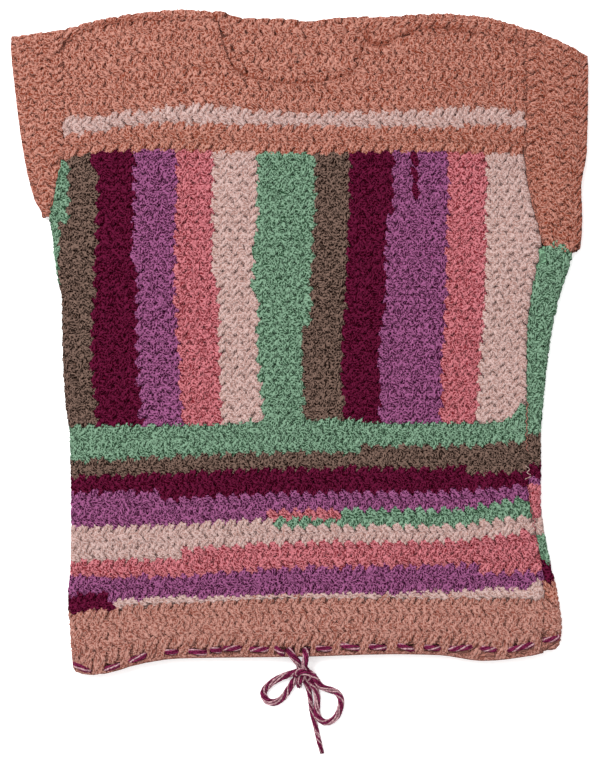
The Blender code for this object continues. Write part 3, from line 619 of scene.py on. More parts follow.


def yarn_material(name):
    """Crimped yarn: kinked ridges twisted along each strand, soft slits across them and fine fibres. Painted
    shade darkens its colour in the grooves and slits, and painted highlights lighten it on the ridges.
    """
    finish = Finish(name.replace(" ", "_") + "_yarn", roughness=1.0, specular=0.0)
    place = finish.node("ShaderNodeUVMap", {"uv_map": "strand"})
    around = finish.node("ShaderNodeSeparateXYZ", values={"Vector": place}, out="Y")
    tone = finish.node("ShaderNodeAttribute", {"attribute_name": "tone"}, out="Fac")
    groove = (around * STRAND_PLIES + finish.noise(KINK, 1.0) * KINK_SWAY).wave()
    crimp = (finish.noise(CRIMP, 0.0) * CRIMP_LINES).wave()
    fibres = finish.noise(FUZZ) * FUZZ_TONE + (1 - FUZZ_TONE / 2)
    depth = groove * (1 - CRIMP_SHARE) + crimp * CRIMP_SHARE
    # painted shade and highlight: the deeper a place lies in the relief, the darker its colour
    light = (MIDDLE_TONE - (depth - 0.5) * CONTRAST) * tone * fibres
    finish.feed("Base Color", finish.shade(YARNS[name].dark, YARNS[name].light, light))
    relief = {"Strength": 0.8, "Distance": YARN_RELIEF, "Height": 1 - depth}
    finish.feed("Normal", finish.node("ShaderNodeBump", values=relief))
    return finish.material


def ground_material(name):
    """The inside of the stitches, seen only in the gaps between them, coloured in painted shade, darker and
    fuller than the yarn.
    """
    finish = Finish(name.replace(" ", "_") + "_ground", roughness=1.0, specular=0.0)
    light = np.array(YARNS[name].light)
    deep = light.max() * (light / light.max()) ** DEEP
    crimp = (finish.noise(CRIMP, 0.0) * CRIMP_LINES).wave()
    finish.feed("Base Color", finish.shade(tuple(deep * GROUND_DARK), tuple(deep), 1 - crimp))
    relief = {"Distance": GROUND_RELIEF, "Height": 1 - crimp}
    finish.feed("Normal", finish.node("ShaderNodeBump", values=relief))
    return finish.material


WHITE = (1.0, 1.0, 1.0, 1.0)
FLOOR_GREYS = (0.925, 0.925, 0.925), (0.940, 0.940, 0.940)
FLOOR_GLOW = 0.35


def floor_material():
    finish = Finish("pale_floor", roughness=0.9)
    finish.shader.inputs["Emission Color"].default_value = WHITE
    finish.shader.inputs["Emission Strength"].default_value = FLOOR_GLOW
    finish.feed("Base Color", finish.shade(*FLOOR_GREYS, finish.noise(3.0)))
    return finish.material


YARN_MATERIALS = [yarn_material(name) for name in CLOTH_YARNS]
GROUND_MATERIALS = [ground_material(name) for name in CLOTH_YARNS]
CORD_MATERIALS = [yarn_material("cord maroon"), yarn_material("cord pink")]


# ------------------------ the camera
VIEW_HEIGHT = 0.6885  # what the long side of the view shows at the top of the cloth
VIEW_MIDDLE = Vector((0.45 * MM, -36.9 * MM, 10.0 * MM))
LENS, FILM = 85.0, 36.0


def set_camera():
    camera = bpy.data.cameras.new("camera")
    camera.lens, camera.sensor_width = LENS, FILM
    made = bpy.data.objects.new("camera", camera)
    made.location = VIEW_MIDDLE + Vector((0, 0, VIEW_HEIGHT * LENS / FILM))
    bpy.context.collection.objects.link(made)
    bpy.context.scene.camera = made
    bpy.context.scene.view_settings.view_transform = "Standard"


# ------------------------ strands
def add_piece(name, mesh, materials):
    for material in materials:
        mesh.materials.append(material)
    made = bpy.data.objects.new(name, mesh)
    bpy.context.collection.objects.link(made)
    return made


UPRIGHT = 0.95  # a steeper direction than this gives no way across it


def direction(points, k):
    """Where a route leads at one of its points."""
    return (points[min(k + 1, len(points) - 1)] - points[max(k - 1, 0)]).normalized()


def next_ring(bm, edges):
    """The spots and edges of a ring extruded from another one."""
    made = bmesh.ops.extrude_edge_only(bm, edges=edges)["geom"]
    ring = [part for part in made if isinstance(part, bmesh.types.BMVert)]
    edges = [part for part in made if isinstance(part, bmesh.types.BMEdge)]
    return ring, [edge for edge in edges if all(vert in ring for vert in edge.verts)]


def strand(bm, path, radii, twist, flat=1.0, groove=1.0, sides=6, material=0):
    """A strand of yarn along a path: a ring of soft lobes, extruded from point to point and twisted."""
    along = bm.verts.layers.float.get("along") or bm.verts.layers.float.new("along")
    around = bm.verts.layers.float.get("around") or bm.verts.layers.float.new("around")
    points = [Vector(point) for point in path]
    before = set(bm.faces)
    ring = bmesh.ops.create_circle(bm, segments=sides, radius=1.0)["verts"]
    for k, vert in enumerate(ring):
        vert[around] = k / sides
        if k % 2:
            vert.co *= groove
    run = 0.0
    frame_before = Matrix()
    edges = list({edge for vert in ring for edge in vert.link_edges})
    lift = Vector((0, 0, 1))
    for k, point in enumerate(points):
        ahead = direction(points, k)
        if k:
            run += (point - points[k - 1]).length
            ring, edges = next_ring(bm, edges)
        if abs(ahead.z) < UPRIGHT:
            lift = Vector((0, 0, 1))
        side = ahead.cross(lift).normalized()
        up = side.cross(ahead)
        basis = Matrix((side * radii[k], up * radii[k] * flat, ahead)).transposed().to_4x4()
        spot = Matrix.Translation(point) @ basis @ Matrix.Rotation(twist * run, 4, "Z")
        bmesh.ops.transform(bm, matrix=spot @ frame_before.inverted(), verts=ring)
        for vert in ring:
            vert[along] = run
        frame_before = spot
    new = [face for face in bm.faces if face not in before]
    rims = [edge for face in new for edge in face.edges if edge.is_boundary]
    new += bmesh.ops.holes_fill(bm, edges=list(set(rims)))["faces"]
    for face in new:
        face.material_index = material
        face.smooth = True


def wind_strands(bm):
    """The map that the yarn's plies follow: the distance along a strand and the way round it."""
    along, around = bm.verts.layers.float["along"], bm.verts.layers.float["around"]
    strand_map = bm.loops.layers.uv.new("strand")
    for face in bm.faces:
        places = [loop.vert[around] for loop in face.loops]
        wraps = len(places) == 4 and max(places) - min(places) > 0.5
        for loop, place in zip(face.loops, places):
            loop[strand_map].uv = (loop.vert[along], place + (1.0 if wraps and place < 0.5 else 0.0))
    bmesh.ops.recalc_face_normals(bm, faces=bm.faces)


def mesh_of(name, bm):
    mesh = bpy.data.meshes.new(name)
    bm.to_mesh(mesh)
    bm.free()
    return mesh


def strand_mesh(name, bm):
    wind_strands(bm)
    return mesh_of(name, bm)


CURVE_STEPS = 12  # short straight steps of a smooth curve between two given points


def spaced(points, step):
    """Points at even steps along the smooth curve through the given ones."""
    points = [Vector(point) for point in points]
    ends = [points[0] * 2 - points[1], *points, points[-1] * 2 - points[-2]]
    fine = []
    for a, b, c, d in zip(ends, ends[1:], ends[2:], ends[3:]):
        for k in range(CURVE_STEPS):
            t = k / CURVE_STEPS
            pull = (c - a) * t + (2 * a - 5 * b + 4 * c - d) * t**2 + (3 * b - a - 3 * c + d) * t**3
            fine.append(b + pull / 2)
    fine.append(points[-1])
    lengths = np.concatenate([[0.0], np.cumsum([(b - a).length for a, b in zip(fine, fine[1:])])])
    even = np.linspace(0, lengths[-1], max(2, round(lengths[-1] / step)) + 1)
    table = np.array(fine)
    return [Vector(np.interp(reach, lengths, column) for column in table.T) for reach in even]


# ------------------------ the drawstring
LACED_PLIES = (0, 0, 1, 0, 0, 1)  # the colour of each ply, where the cord is pulled tight
BOW_PLIES = (0, 1, 1, 0, 0, 1)  # and where it hangs loose
PLY_REACH = 0.35  # the distance of a ply from the cord's middle, in diameters of the cord
PLY_RADIUS = 0.17
PLY_TWIST = 260.0  # how each ply is twisted in itself, in radians for each metre
CORE = 0.27  # radius of the yarn inside the plies, in diameters of the cord
PLY_LAY = 6.0  # the length of one turn of the plies
LAY_SWAY = 0.55  # how much faster and slower they turn along the cord
CORD_STEP = 1.4 * MM
WORN = 8  # points at a free end over which the plies grow thin
WORN_THIN = 0.55  # and how much thinner
TAPER = 8  # points over which the cord becomes as thin as its free end


def add_plies(bm, route, diameters, worn, wide, plies):
    """Plies twisted about each other along a route, where they lie so many times as wide as high."""
    last = len(route) - 1
    for ply, colour in enumerate(plies):
        path, radii = [], []
        turned = 0.0
        for k, point in enumerate(route):
            if k:
                turns = (point - route[k - 1]).length / (PLY_LAY * diameters[k])
                turned += turns * (1 + LAY_SWAY * math.sin(k / 4))
            ahead = direction(route, k)
            lift = Vector((0, 0, 1)) if abs(ahead.z) < UPRIGHT else Vector((0, 1, 0))
            across = ahead.cross(lift).normalized()
            up = across.cross(ahead)
            angle = math.tau * (turned + ply / len(plies))
            reach = diameters[k] * PLY_REACH
            spot = point + across * math.cos(angle) * reach * wide + up * math.sin(angle) * reach
            path.append(Vector((spot.x, spot.y, max(spot.z, diameters[k] * PLY_RADIUS))))
            thin = 1.0 - WORN_THIN * max(0, k - last + WORN) / WORN if worn else 1.0
            radii.append(diameters[k] * PLY_RADIUS * thin)
        strand(bm, path, radii, PLY_TWIST, groove=0.90, sides=5, material=colour)
    strand(bm, route, [CORE * diameter for diameter in diameters], twist=0.0, sides=4)


def store(mesh, name, kind, values):
    key = "vector" if kind == "FLOAT_VECTOR" else "value"
    mesh.attributes.new(name, kind, "POINT").data.foreach_set(key, values.ravel())


def set_tone(mesh, tone):
    """Dyes the whole of a mesh alike."""
    store(mesh, "tone", "FLOAT", np.full(len(mesh.vertices), tone))


def cord_piece(name, route, tail=0.0, wide=1.1, plies=BOW_PLIES):
    """A cord along a route, thinner where the last stretch of it hangs free."""
    route = spaced(route, CORD_STEP)
    bm = bmesh.new()
    start = len(route) - tail / CORD_STEP
    share = [float(soft_step((k - start) / TAPER)) if tail else 0.0 for k in range(len(route))]
    add_plies(bm, route, [mix(CORD, TAIL, at) for at in share], tail > 0, wide, plies)
    made = add_piece(name, strand_mesh(name, bm), CORD_MATERIALS)
    set_tone(made.data, 1.0)
    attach(made, "root")
    return made


INSIDE = WALL + HEM_SPACE / 2  # height of the cord's middle between the layers
FACE = 2 * WALL + HEM_SPACE  # height of the hem's upper face
DIVE = 2.6 * MM  # distance along the hem in which the cord goes down through it
DIVE_LEAN = 0.6  # how much of its lean it keeps there
ARCH = [(-1.0, -2.6 * MM), (-0.6, 0.0), (0.0, 1.0 * MM), (0.6, 0.0), (1.0, -2.6 * MM)]  # its rise over a hole
FLOOR = CORD / 2 + 0.2 * MM  # height of the cord's middle where it lies on the surface
LACED_WIDE = 0.9  # the hem's stitches press the cord narrower
KNOT_WIDE = 1.3  # and it lies broader where it is tied
BOW_WIDE = {"left": 1.25, "right": 1.15}
EXIT_HEIGHT = 9.5 * MM  # where the left half of the laced cord ends, at its way out

LEAD_LEFT = [
    (-0.0090, -0.2772, 0.0046), (-0.0090, -0.2772, 0.0120), (-0.0089, -0.2774, 0.0156),
    (-0.0076, -0.2800, 0.0177), (-0.0048, -0.2836, 0.0172), (-0.0020, -0.2872, 0.0150),
    (-0.0002, -0.2900, 0.0122), (0.0006, -0.2930, 0.0100),
]
LEAD_RIGHT = [
    (0.0052, -0.2772, 0.0046), (0.0052, -0.2772, 0.0120), (0.0053, -0.2774, 0.0156),
    (0.0056, -0.2800, 0.0179), (0.0056, -0.2836, 0.0179), (0.0050, -0.2872, 0.0170),
    (0.0046, -0.2900, 0.0154), (0.0050, -0.2930, 0.0134),
]
LOOP_LEFT = [
    (-0.0052, -0.2990, 0.0060), (-0.0110, -0.3010, 0.0040), (-0.0207, -0.3054, FLOOR),
    (-0.0296, -0.3122, FLOOR), (-0.0325, -0.3186, FLOOR), (-0.0286, -0.3250, FLOOR),
    (-0.0214, -0.3258, FLOOR), (-0.0145, -0.3212, FLOOR), (-0.0090, -0.3131, FLOOR),
    (-0.0045, -0.3062, 0.0036),
]
LOOP_RIGHT = [
    (0.0118, -0.3002, 0.0092), (0.0152, -0.3050, 0.0086), (0.0195, -0.3110, 0.0068),
    (0.0262, -0.3140, 0.0042), (0.0336, -0.3170, FLOOR), (0.0374, -0.3232, FLOOR),
    (0.0367, -0.3317, FLOOR), (0.0329, -0.3395, FLOOR), (0.0258, -0.3440, FLOOR),
    (0.0196, -0.3424, FLOOR), (0.0160, -0.3364, FLOOR), (0.0158, -0.3290, FLOOR),
    (0.0160, -0.3217, FLOOR), (0.0144, -0.3140, FLOOR), (0.0112, -0.3078, 0.0034),
]
TAIL_LONG = [
    (0.0058, -0.3076, 0.0034), (0.0082, -0.3130, 0.0026), (0.0096, -0.3217, 0.0022),
    (0.0110, -0.3333, 0.0022), (0.0138, -0.3449, 0.0022), (0.0162, -0.3550, 0.0022),
    (0.0188, -0.3659, 0.0022), (0.0206, -0.3725, 0.0022),
]
TAIL_SHORT = [(0.0000, -0.3062, 0.0090), (-0.0002, -0.3092, 0.0076), (0.0000, -0.3120, 0.0060)]
IN_KNOT_LEFT = [(0.0010, -0.2966, 0.0082)]  # where each half runs through the knot
IN_KNOT_RIGHT = [(0.0072, -0.2970, 0.0094)]
LEFT_BACK_IN = [(0.0008, -0.3006, 0.0052), (0.0034, -0.3000, 0.0086)]
RIGHT_BACK_IN = [(0.0072, -0.3016, 0.0044), (0.0040, -0.3006, 0.0062)]
KNOT_WRAP = [
    (0.0012, -0.3030, 0.0028), (-0.0026, -0.3006, 0.0056), (-0.0020, -0.2978, 0.0102),
    (0.0022, -0.2966, 0.0134), (0.0064, -0.2974, 0.0128), (0.0096, -0.3000, 0.0094),
    (0.0092, -0.3030, 0.0058), (0.0060, -0.3042, 0.0040),
]


def lace_point(x, z):
    return x, float(smooth(LACE, x)), z


def dash_points(dash):
    """The cord over one hole: it comes up out of the hem, lies on it and goes in again."""
    ends = [(way * (dash.half + DIVE), way * dash.lean * (dash.half + DIVE) * DIVE_LEAN) for way in (-1, 1)]
    into, out = ((dash.x + along, dash.y + across, INSIDE) for along, across in ends)
    over = []
    for reach, height in ARCH:
        along = reach * dash.half
        over.append((dash.x + along, dash.y + dash.lean * along, FACE + height + dash.lift))
    return [into, *over, out]


def back_run(x):
    return x, float(smooth(HEM_EDGE, x)) + LACE_LINE + BACK_RUN, INSIDE


BACK_LEFT, BACK_RIGHT = -0.1925, 0.2215  # where the stretch in the back of the hem ends
BACK_POINTS = 25
TURN_LEFT = [(-0.1985, -0.2850, INSIDE), (-0.2020, -0.2880, 0.0080)]
TURN_RIGHT = [(0.2325, -0.2635, 0.0085), (0.2280, -0.2605, INSIDE)]


def laced_cord():
    """The stretches of the cord that the hem holds."""
    exit_reach = CORD / 2 + SEAM
    left = [dash_points(dash) for dash in DASHES if dash.x < EXITS[0].x]
    right = [dash_points(dash) for dash in DASHES if dash.x > EXITS[1].x]

    left_way = [back_run(BACK_LEFT + SEAM), *TURN_LEFT, *left[0][1:]]
    left_way += [point for stretch in left[1:] for point in stretch]
    left_way[-1] = lace_point(EXITS[0].x - exit_reach, EXIT_HEIGHT)
    right_way = [lace_point(EXITS[1].x + exit_reach, INSIDE)]
    right_way += [point for stretch in right[:-1] for point in stretch]
    right_way += [*right[-1][:-1], *TURN_RIGHT, back_run(BACK_RIGHT - SEAM)]
    for side, route in (("left", left_way), ("right", right_way)):
        laced = cord_piece("laced_cord_" + side, route, wide=LACED_WIDE, plies=LACED_PLIES)
        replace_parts(laced, "cord_laced_" + side)
    route = [back_run(x) for x in np.linspace(BACK_LEFT, BACK_RIGHT, BACK_POINTS)]
    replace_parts(cord_piece("hidden_cord", route), "cord_back_run")


def length_of(route):
    route = spaced(route, CORD_STEP)
    return sum((b - a).length for a, b in zip(route, route[1:]))


def bow():
    """The two ends of the cord, each through the knot, round its loop and back into the knot."""
    knot = cord_piece("bow_knot", KNOT_WRAP, wide=KNOT_WIDE, plies=LACED_PLIES)
    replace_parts(knot, "cord_knot")
    left = [*LEAD_LEFT, *IN_KNOT_LEFT, *LOOP_LEFT, *LEFT_BACK_IN, *TAIL_SHORT]
    right = [*LEAD_RIGHT, *IN_KNOT_RIGHT, *LOOP_RIGHT, *RIGHT_BACK_IN, *TAIL_LONG]
    for side, route, tail, tail_node, pieces in (
        ("left", left, TAIL_SHORT, "cord_tail_short", [knot]),
        ("right", right, TAIL_LONG, "cord_tail_long", []),
    ):
        made = cord_piece("bow_" + side, route, length_of(tail), BOW_WIDE[side])
        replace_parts(made, "cord_lead_" + side, "cord_loop_" + side, tail_node)
        length_of(route)
        [tuple(point) for point in spaced(route, 2 * CORD_STEP)]


# ------------------------ one stitch
LONG = 11.7 * MM  # a stitch along its row, before it is sized to its place
TALL = 7.6 * MM
LEG_RINGS = 7
LEG_RADIUS = 3.0 * MM
LEG_FLAT = 0.56  # a leg's height beside its width
LEG_TWIST = 330.0  # radians for each metre
LEG_REACH = 0.42 * LONG  # from a leg's middle to its end, along the row
LEG_RISE = 0.90 * TALL  # and across it
LEG_APART = 0.205 * LONG  # how far a leg bows out from the other
LEG_BOW = 0.05 * TALL
LEG_END = 0.56  # the radius of a leg's end, as a share of the middle's
DEPTH = -1.3 * MM  # the middle of the stitches, below the solid's face
BELLY_LOW, BELLY_RISE = -0.25 * MM, 0.60 * MM  # a leg's ends, and its middle above them
FIRST_LEG = 0.15 * MM  # the first leg lies higher
TIP = 0.4 * MM  # how much higher a stitch's upper end lies, over the row above it
WOBBLE = 0.30 * MM  # how far its yarn strays from its path
PLAIN_RINGS = 5
PLAIN_RADIUS = 5.0 * MM
PLAIN_LOW, PLAIN_RISE = -0.9 * MM, 1.5 * MM


def shape_stitch(bm, lean):
    """Two legs of yarn side by side, leaning with the row, whose lower ends dip under the row below."""
    for side in (1, -1):
        path, radii = [], []
        stray = HAND.normal(0, WOBBLE, (LEG_RINGS, 3))
        for s, (stray_u, stray_v, stray_w) in zip(np.linspace(-1, 1, LEG_RINGS), stray):
            belly = 1 - s * s
            u = LEG_REACH * s - side * LEG_APART * belly**0.7
            v = LEG_RISE * s + side * LEG_BOW * belly
            w = DEPTH + BELLY_LOW + BELLY_RISE * belly**0.8 + (FIRST_LEG if side > 0 else 0.0) + TIP * s
            path.append((lean * u + stray_u, v + stray_v * belly, w + stray_w * 0.6))
            thick = LEG_END + (1 - LEG_END) * belly**0.5
            radii.append(LEG_RADIUS * thick * (1 + stray_w / (4 * MM)))
        strand(bm, path, radii, LEG_TWIST, flat=LEG_FLAT, groove=0.88)


def shape_plain_stitch(bm, lean):
    """A stitch of a side that is hidden: one broad flat strand."""
    path, radii = [], []
    for s in np.linspace(-1, 1, PLAIN_RINGS):
        belly = 1 - s * s
        path.append((lean * LEG_REACH * s, LEG_RISE * s, DEPTH + PLAIN_LOW + PLAIN_RISE * belly))
        radii.append(PLAIN_RADIUS * (0.45 + 0.55 * belly**0.5))
    strand(bm, path, radii, twist=40.0 * lean, flat=0.36, groove=0.92)


def stitch_pattern(name, shape, lean):
    bm = bmesh.new()
    shape(bm, lean)
    made = add_piece(name, strand_mesh(name, bm), YARN_MATERIALS)
    made.hide_render = True
    return made


VARIANTS = 3  # patterns of the same stitch, so that no two neighbours look alike
PATTERNS = [
    stitch_pattern(f"stitch_{k}_{'right' if lean > 0 else 'left'}", shape_stitch, lean)
    for k in range(VARIANTS)
    for lean in (1, -1)
]
PLAIN = len(PATTERNS)  # a stitch's kind from here on, where it is hidden
PATTERNS += [stitch_pattern(f"plain_stitch_{lean > 0}", shape_plain_stitch, lean) for lean in (1, -1)]


def working_group():
    """Sets a stitch on every point, turned, sized and dyed as the point says."""
    group = bpy.data.node_groups.new("work_the_rows", "GeometryNodeTree")
    for way in ("INPUT", "OUTPUT"):
        group.interface.new_socket("Geometry", in_out=way, socket_type="NodeSocketGeometry")
    new, link = group.nodes.new, group.links.new
    points, result = new("NodeGroupInput"), new("NodeGroupOutput")

    def named(name, kind):
        node = new("GeometryNodeInputNamedAttribute")
        node.data_type = kind
        node.inputs["Name"].default_value = name
        return node.outputs["Attribute"]

    joined = new("GeometryNodeJoinGeometry")
    for number, pattern in enumerate(PATTERNS):
        source = new("GeometryNodeObjectInfo")
        source.inputs["Object"].default_value = pattern
        chosen = new("FunctionNodeCompare")
        chosen.data_type, chosen.operation = "INT", "EQUAL"
        wanted = [socket for socket in chosen.inputs if socket.type == "INT"]
        link(named("kind", "INT"), wanted[0])
        wanted[1].default_value = number
        place = new("GeometryNodeInstanceOnPoints")
        link(points.outputs[0], place.inputs["Points"])
        link(chosen.outputs["Result"], place.inputs["Selection"])
        link(source.outputs["Geometry"], place.inputs["Instance"])
        link(named("turn", "FLOAT_VECTOR"), place.inputs["Rotation"])
        link(named("size", "FLOAT_VECTOR"), place.inputs["Scale"])
        link(place.outputs[0], joined.inputs[0])
    real, dyed = new("GeometryNodeRealizeInstances"), new("GeometryNodeSetMaterialIndex")
    link(joined.outputs[0], real.inputs[0])
    link(real.outputs[0], dyed.inputs["Geometry"])
    link(named("yarn", "INT"), dyed.inputs["Material Index"])
    link(dyed.outputs[0], result.inputs[0])
    return group


WORKING = working_group()


# ------------------------ working and laying
class Rows:
    """Stitches gathered row by row in flat places, before they are worked and laid."""

    def __init__(self):
        self.parts = []

    def add(self, **values):
        """u, v, angle, long, tall, yarn, kind and tone, each one value or one for each stitch."""
        count = len(values["u"])
        self.parts.append({key: np.broadcast_to(value, count).astype(float) for key, value in values.items()})

    def column(self, key):
        return np.concatenate([part[key] for part in self.parts])

    def where(self, keep):
        """The stitches that a test on their flat places keeps."""
        chosen = Rows()
        for part in self.parts:
            kept = keep(part["u"], part["v"])
            chosen.parts.append({key: value[kept] for key, value in part.items()})
        return chosen

    def within(self, layer):
        """The stitches between a layer's borders."""
        return self.where(lambda u, v: (u > layer.left(v) + BORDER) & (u < layer.right(v) - BORDER))


SHIFT = 0.28 * MM  # how unevenly the stitches are set, sized, turned and dyed
RISE = 0.12 * MM
SIZE = 0.045
TURN_BY = 0.07
TILT_BY = 0.03
TONE = 0.035

BORDER = -1.2 * MM  # a stitch's middle may lie this far past a seam, where it is pressed back
CLOSE = 1.35  # how many places the stitches of a close row cover


def work_row(
    rows, row, ends, count, low, high, yarn, tone, hidden=None, upright=False, turned=False, cover=1.0
):
    """One row between two lines. Upright rows run up the cloth, and the others across it.

    yarn gives a row's colours at places along it, and tone how strong its colour is at flat places, with any
    painted shade.
    """
    step = (ends[1] - ends[0]) / count
    offset = 0.0 if row % 2 else 0.5
    a = ends[0] + step * (np.arange(count + row % 2) + offset)
    a = a + HAND.normal(0, SHIFT, len(a))
    c = (low(a) + high(a)) / 2
    ahead, behind = a + step / 2, a - step / 2
    lean = np.arctan((high(ahead) + low(ahead) - high(behind) - low(behind)) / 2 / step)
    tall = np.abs(high(a) - low(a)) * np.cos(lean)
    c = c + HAND.normal(0, SHIFT, len(a))
    u, v = (c, a) if upright else (a, c)
    angle = (math.pi / 2 - lean if upright else lean) + math.pi * turned
    kind = row % 2 + 2 * HAND.integers(0, VARIANTS, len(a))
    if hidden is not None:
        kind = np.where(hidden(u, v), PLAIN + row % 2, kind)
    stitch_tone = (1 + HAND.normal(0, TONE, len(a)) + HAND.normal(0, TONE / 3)) * tone(u, v)
    long = step / LONG * cover
    rows.add(u=u, v=v, angle=angle, long=long, tall=tall / TALL, yarn=yarn(row, a), kind=kind, tone=stitch_tone)


def read(parts, key, size=1, kind=float):
    """A value of every vertex, face or corner, or a row of them."""
    values = np.empty(len(parts) * size, kind)
    parts.foreach_get(key, values)
    return values if size == 1 else values.reshape(-1, size)


def lay_mesh(mesh, lay):
    """Moves every vertex from its flat place to where it lies, and keeps the faces outward."""
    u, v, w = read(mesh.vertices, "co", 3).T
    laid = np.stack(lay(u, v, w), axis=1)
    laid[:, 2] = np.maximum(laid[:, 2], 0.0)  # the surface holds up whatever would sink below it
    mesh.vertices.foreach_set("co", laid.ravel())
    spot, small = np.array([np.median(u), np.median(v), -WALL / 2]), 0.1 * MM
    corners = spot + small * np.vstack([np.zeros(3), np.eye(3)])
    laid = np.stack(lay(*corners.T), axis=1)
    if np.linalg.det(laid[1:] - laid[0]) < 0:
        mesh.flip_normals()
    mesh.update()


BAKE_LEAN = 0.35  # how far the bake map leans, so that upright faces have some width on it
BAKE_MARGIN = 0.01
UPPER_SHARE = 0.6  # the part of the map for faces that look up
WRAPPED_SHARE = 0.4  # the same on a piece of which most lies underneath


def add_bake_map(mesh, upper_share=UPPER_SHARE):
    """A flat map of the piece: faces that look up on one part of it and faces that look down on the rest."""
    place = read(mesh.vertices, "co", 3)[read(mesh.loops, "vertex_index", kind=int)]
    upward = read(mesh.polygons, "normal", 3)[:, 2] > 0
    upward = np.repeat(upward, read(mesh.polygons, "loop_total", kind=int))
    flat = place[:, :2] + BAKE_LEAN * place[:, 2:]
    low, high = flat.min(axis=0), flat.max(axis=0)
    share = (flat - low) / (high - low) * (1 - 2 * BAKE_MARGIN) + BAKE_MARGIN
    split = int(high[1] - low[1] <= high[0] - low[0])  # the map is split across the piece's shorter way
    part = share[:, split]
    share[:, split] = np.where(upward, part * upper_share, upper_share + part * (1 - upper_share))
    mesh.uv_layers.new(name="OFBake").data.foreach_set("uv", share.astype(np.float32).ravel())


def stitch_places(name, rows):
    """A point for each stitch, which says how it is turned, sized and dyed, and its tone with any painted
    shade.
    """
    mesh = bpy.data.meshes.new(name)
    count = len(rows.column("u"))
    spots = np.stack([rows.column("u"), rows.column("v"), HAND.normal(0, RISE, count)], axis=1)
    mesh.from_pydata(spots.tolist(), [], [])
    tilt = HAND.normal(0, TILT_BY, (2, count))
    turn = np.stack([*tilt, rows.column("angle") + HAND.normal(0, TURN_BY, count)], axis=1)
    wide, tall = 1 + HAND.normal(0, SIZE, (2, count))
    size = np.stack([rows.column("long") * wide, rows.column("tall") * tall, np.ones(count)], axis=1)
    store(mesh, "turn", "FLOAT_VECTOR", turn)
    store(mesh, "size", "FLOAT_VECTOR", size)
    for key in ("kind", "yarn"):
        store(mesh, key, "INT", rows.column(key).astype(int))
    store(mesh, "tone", "FLOAT", rows.column("tone"))
    return add_piece(name, mesh, [])


def paint_shade(mesh, shade):
    """Painted shade: lowers the tone of a flat mesh by the share that is left at each place."""
    u, v, _ = read(mesh.vertices, "co", 3).T
    tone = mesh.attributes["tone"].data
    tone.foreach_set("value", read(tone, "value") * shade(u, v))


def work(name, rows, lay, upper_share=UPPER_SHARE, shade=None):
    """The stitched piece: a stitch on every flat place, made real and laid."""
    points = stitch_places(name, rows)
    points.modifiers.new("work the rows", "NODES").node_group = WORKING
    depsgraph = bpy.context.evaluated_depsgraph_get()
    worked = bpy.data.meshes.new_from_object(
        points.evaluated_get(depsgraph), preserve_all_data_layers=True, depsgraph=depsgraph
    )
    bpy.data.objects.remove(points)
    for key in ("turn", "size", "kind", "yarn", "along", "around"):
        spare = worked.attributes.get(key)
        if spare:
            worked.attributes.remove(spare)
    worked.name = name
    if shade is not None:
        paint_shade(worked, shade)
    lay_mesh(worked, lay)
    add_bake_map(worked, upper_share)
    made = add_piece(name, worked, [])
    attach(made, "root")
    return made


PRESS = 1.8 * MM  # how far from a seam the stitches begin to be pressed together
SINK = 0.2 * MM  # how deep they go there
OVERLAP = 0.9 * MM  # how far they reach over the seam
STRAY = 0.7 * MM  # and how much further some of them do than others


def press(at, limit, way):
    """Keeps places on their own side of a limit, closer together towards it, and how much each gives."""
    past = np.maximum(0.0, way * (at - limit) + PRESS)
    held = 1 - np.exp(-past / PRESS)
    return np.where(past > 0, limit - way * PRESS * (1 - held), at), held


def stray(at):
    """How a seam wanders along its line."""
    return STRAY * (np.sin(at * 610.0) + 0.7 * np.sin(at * 1130.0 + 1.0))


def held_in(lay, left=None, right=None, low=None, high=None):
    """Lays stitches that are pressed together at the piece's seams and reach a little over them."""

    def laid(u, v, w):
        sunk = np.zeros(np.shape(u))
        for limit, way in ((left, -1), (right, 1)):
            if limit is not None:
                u, held = press(u, limit(v) + way * OVERLAP + stray(v), way)
                sunk = np.maximum(sunk, held)
        for limit, way in ((low, -1), (high, 1)):
            if limit is not None:
                v, held = press(v, limit(u) + way * OVERLAP, way)
                sunk = np.maximum(sunk, held)
        return lay(u, v, w - SINK * sunk)

    return laid


def line_of(rows, above=0.0):
    return lambda at: smooth(rows, at) + above


def upright_at(x):
    return lambda at: x + 0 * at


TOOTH_TALL = 4.6 * MM  # the lower panel's foot is a zigzag, this deep and with this repeat
TOOTH_STEP = 10.4 * MM
TOOTH_MIDDLE = 0.48


def hem_top(at):
    """The lower panel's foot, where its stitches and the hem's reach between each other."""
    tooth = 2 * np.abs((at / TOOTH_STEP) % 1.0 - 0.5)
    return smooth(HEM_REACH, at) + TOOTH_TALL * (tooth - TOOTH_MIDDLE)


FREE_EDGE = line_of(HEM_EDGE, OVERLAP)  # nothing reaches over the hem's edge
SHELL_FACE = -1.6 * MM  # the shell's outer face, below the solid's


def flat_grid(columns, rows, gone=None):
    """A grid of faces whose spots are numbered from 0 to columns and from 0 to rows."""
    bm = bmesh.new()
    bmesh.ops.create_grid(bm, x_segments=columns, y_segments=rows, size=0.5)
    for vert in bm.verts:
        vert.co = ((vert.co.x + 0.5) * columns, (vert.co.y + 0.5) * rows, 0)
    if gone is not None:
        middles = np.array([face.calc_center_median() for face in bm.faces])
        holes = [face for face, hole in zip(bm.faces, gone(middles[:, 0], middles[:, 1])) if hole]
        bmesh.ops.delete(bm, geom=holes, context="FACES")
    return bm


def flat_tube(segments, rows):
    """A ring of faces: the same numbering, with the last column joined to the first."""
    bm = bmesh.new()
    bmesh.ops.create_circle(bm, segments=segments, radius=1.0)
    for vert in bm.verts:
        vert.co = (round(math.atan2(vert.co.y, vert.co.x) % math.tau / math.tau * segments) % segments, 0, 0)
    edges = bm.edges[:]
    for _ in range(rows):
        verts, edges = next_ring(bm, edges)
        bmesh.ops.translate(bm, vec=(0, 1, 0), verts=verts)
    return bm


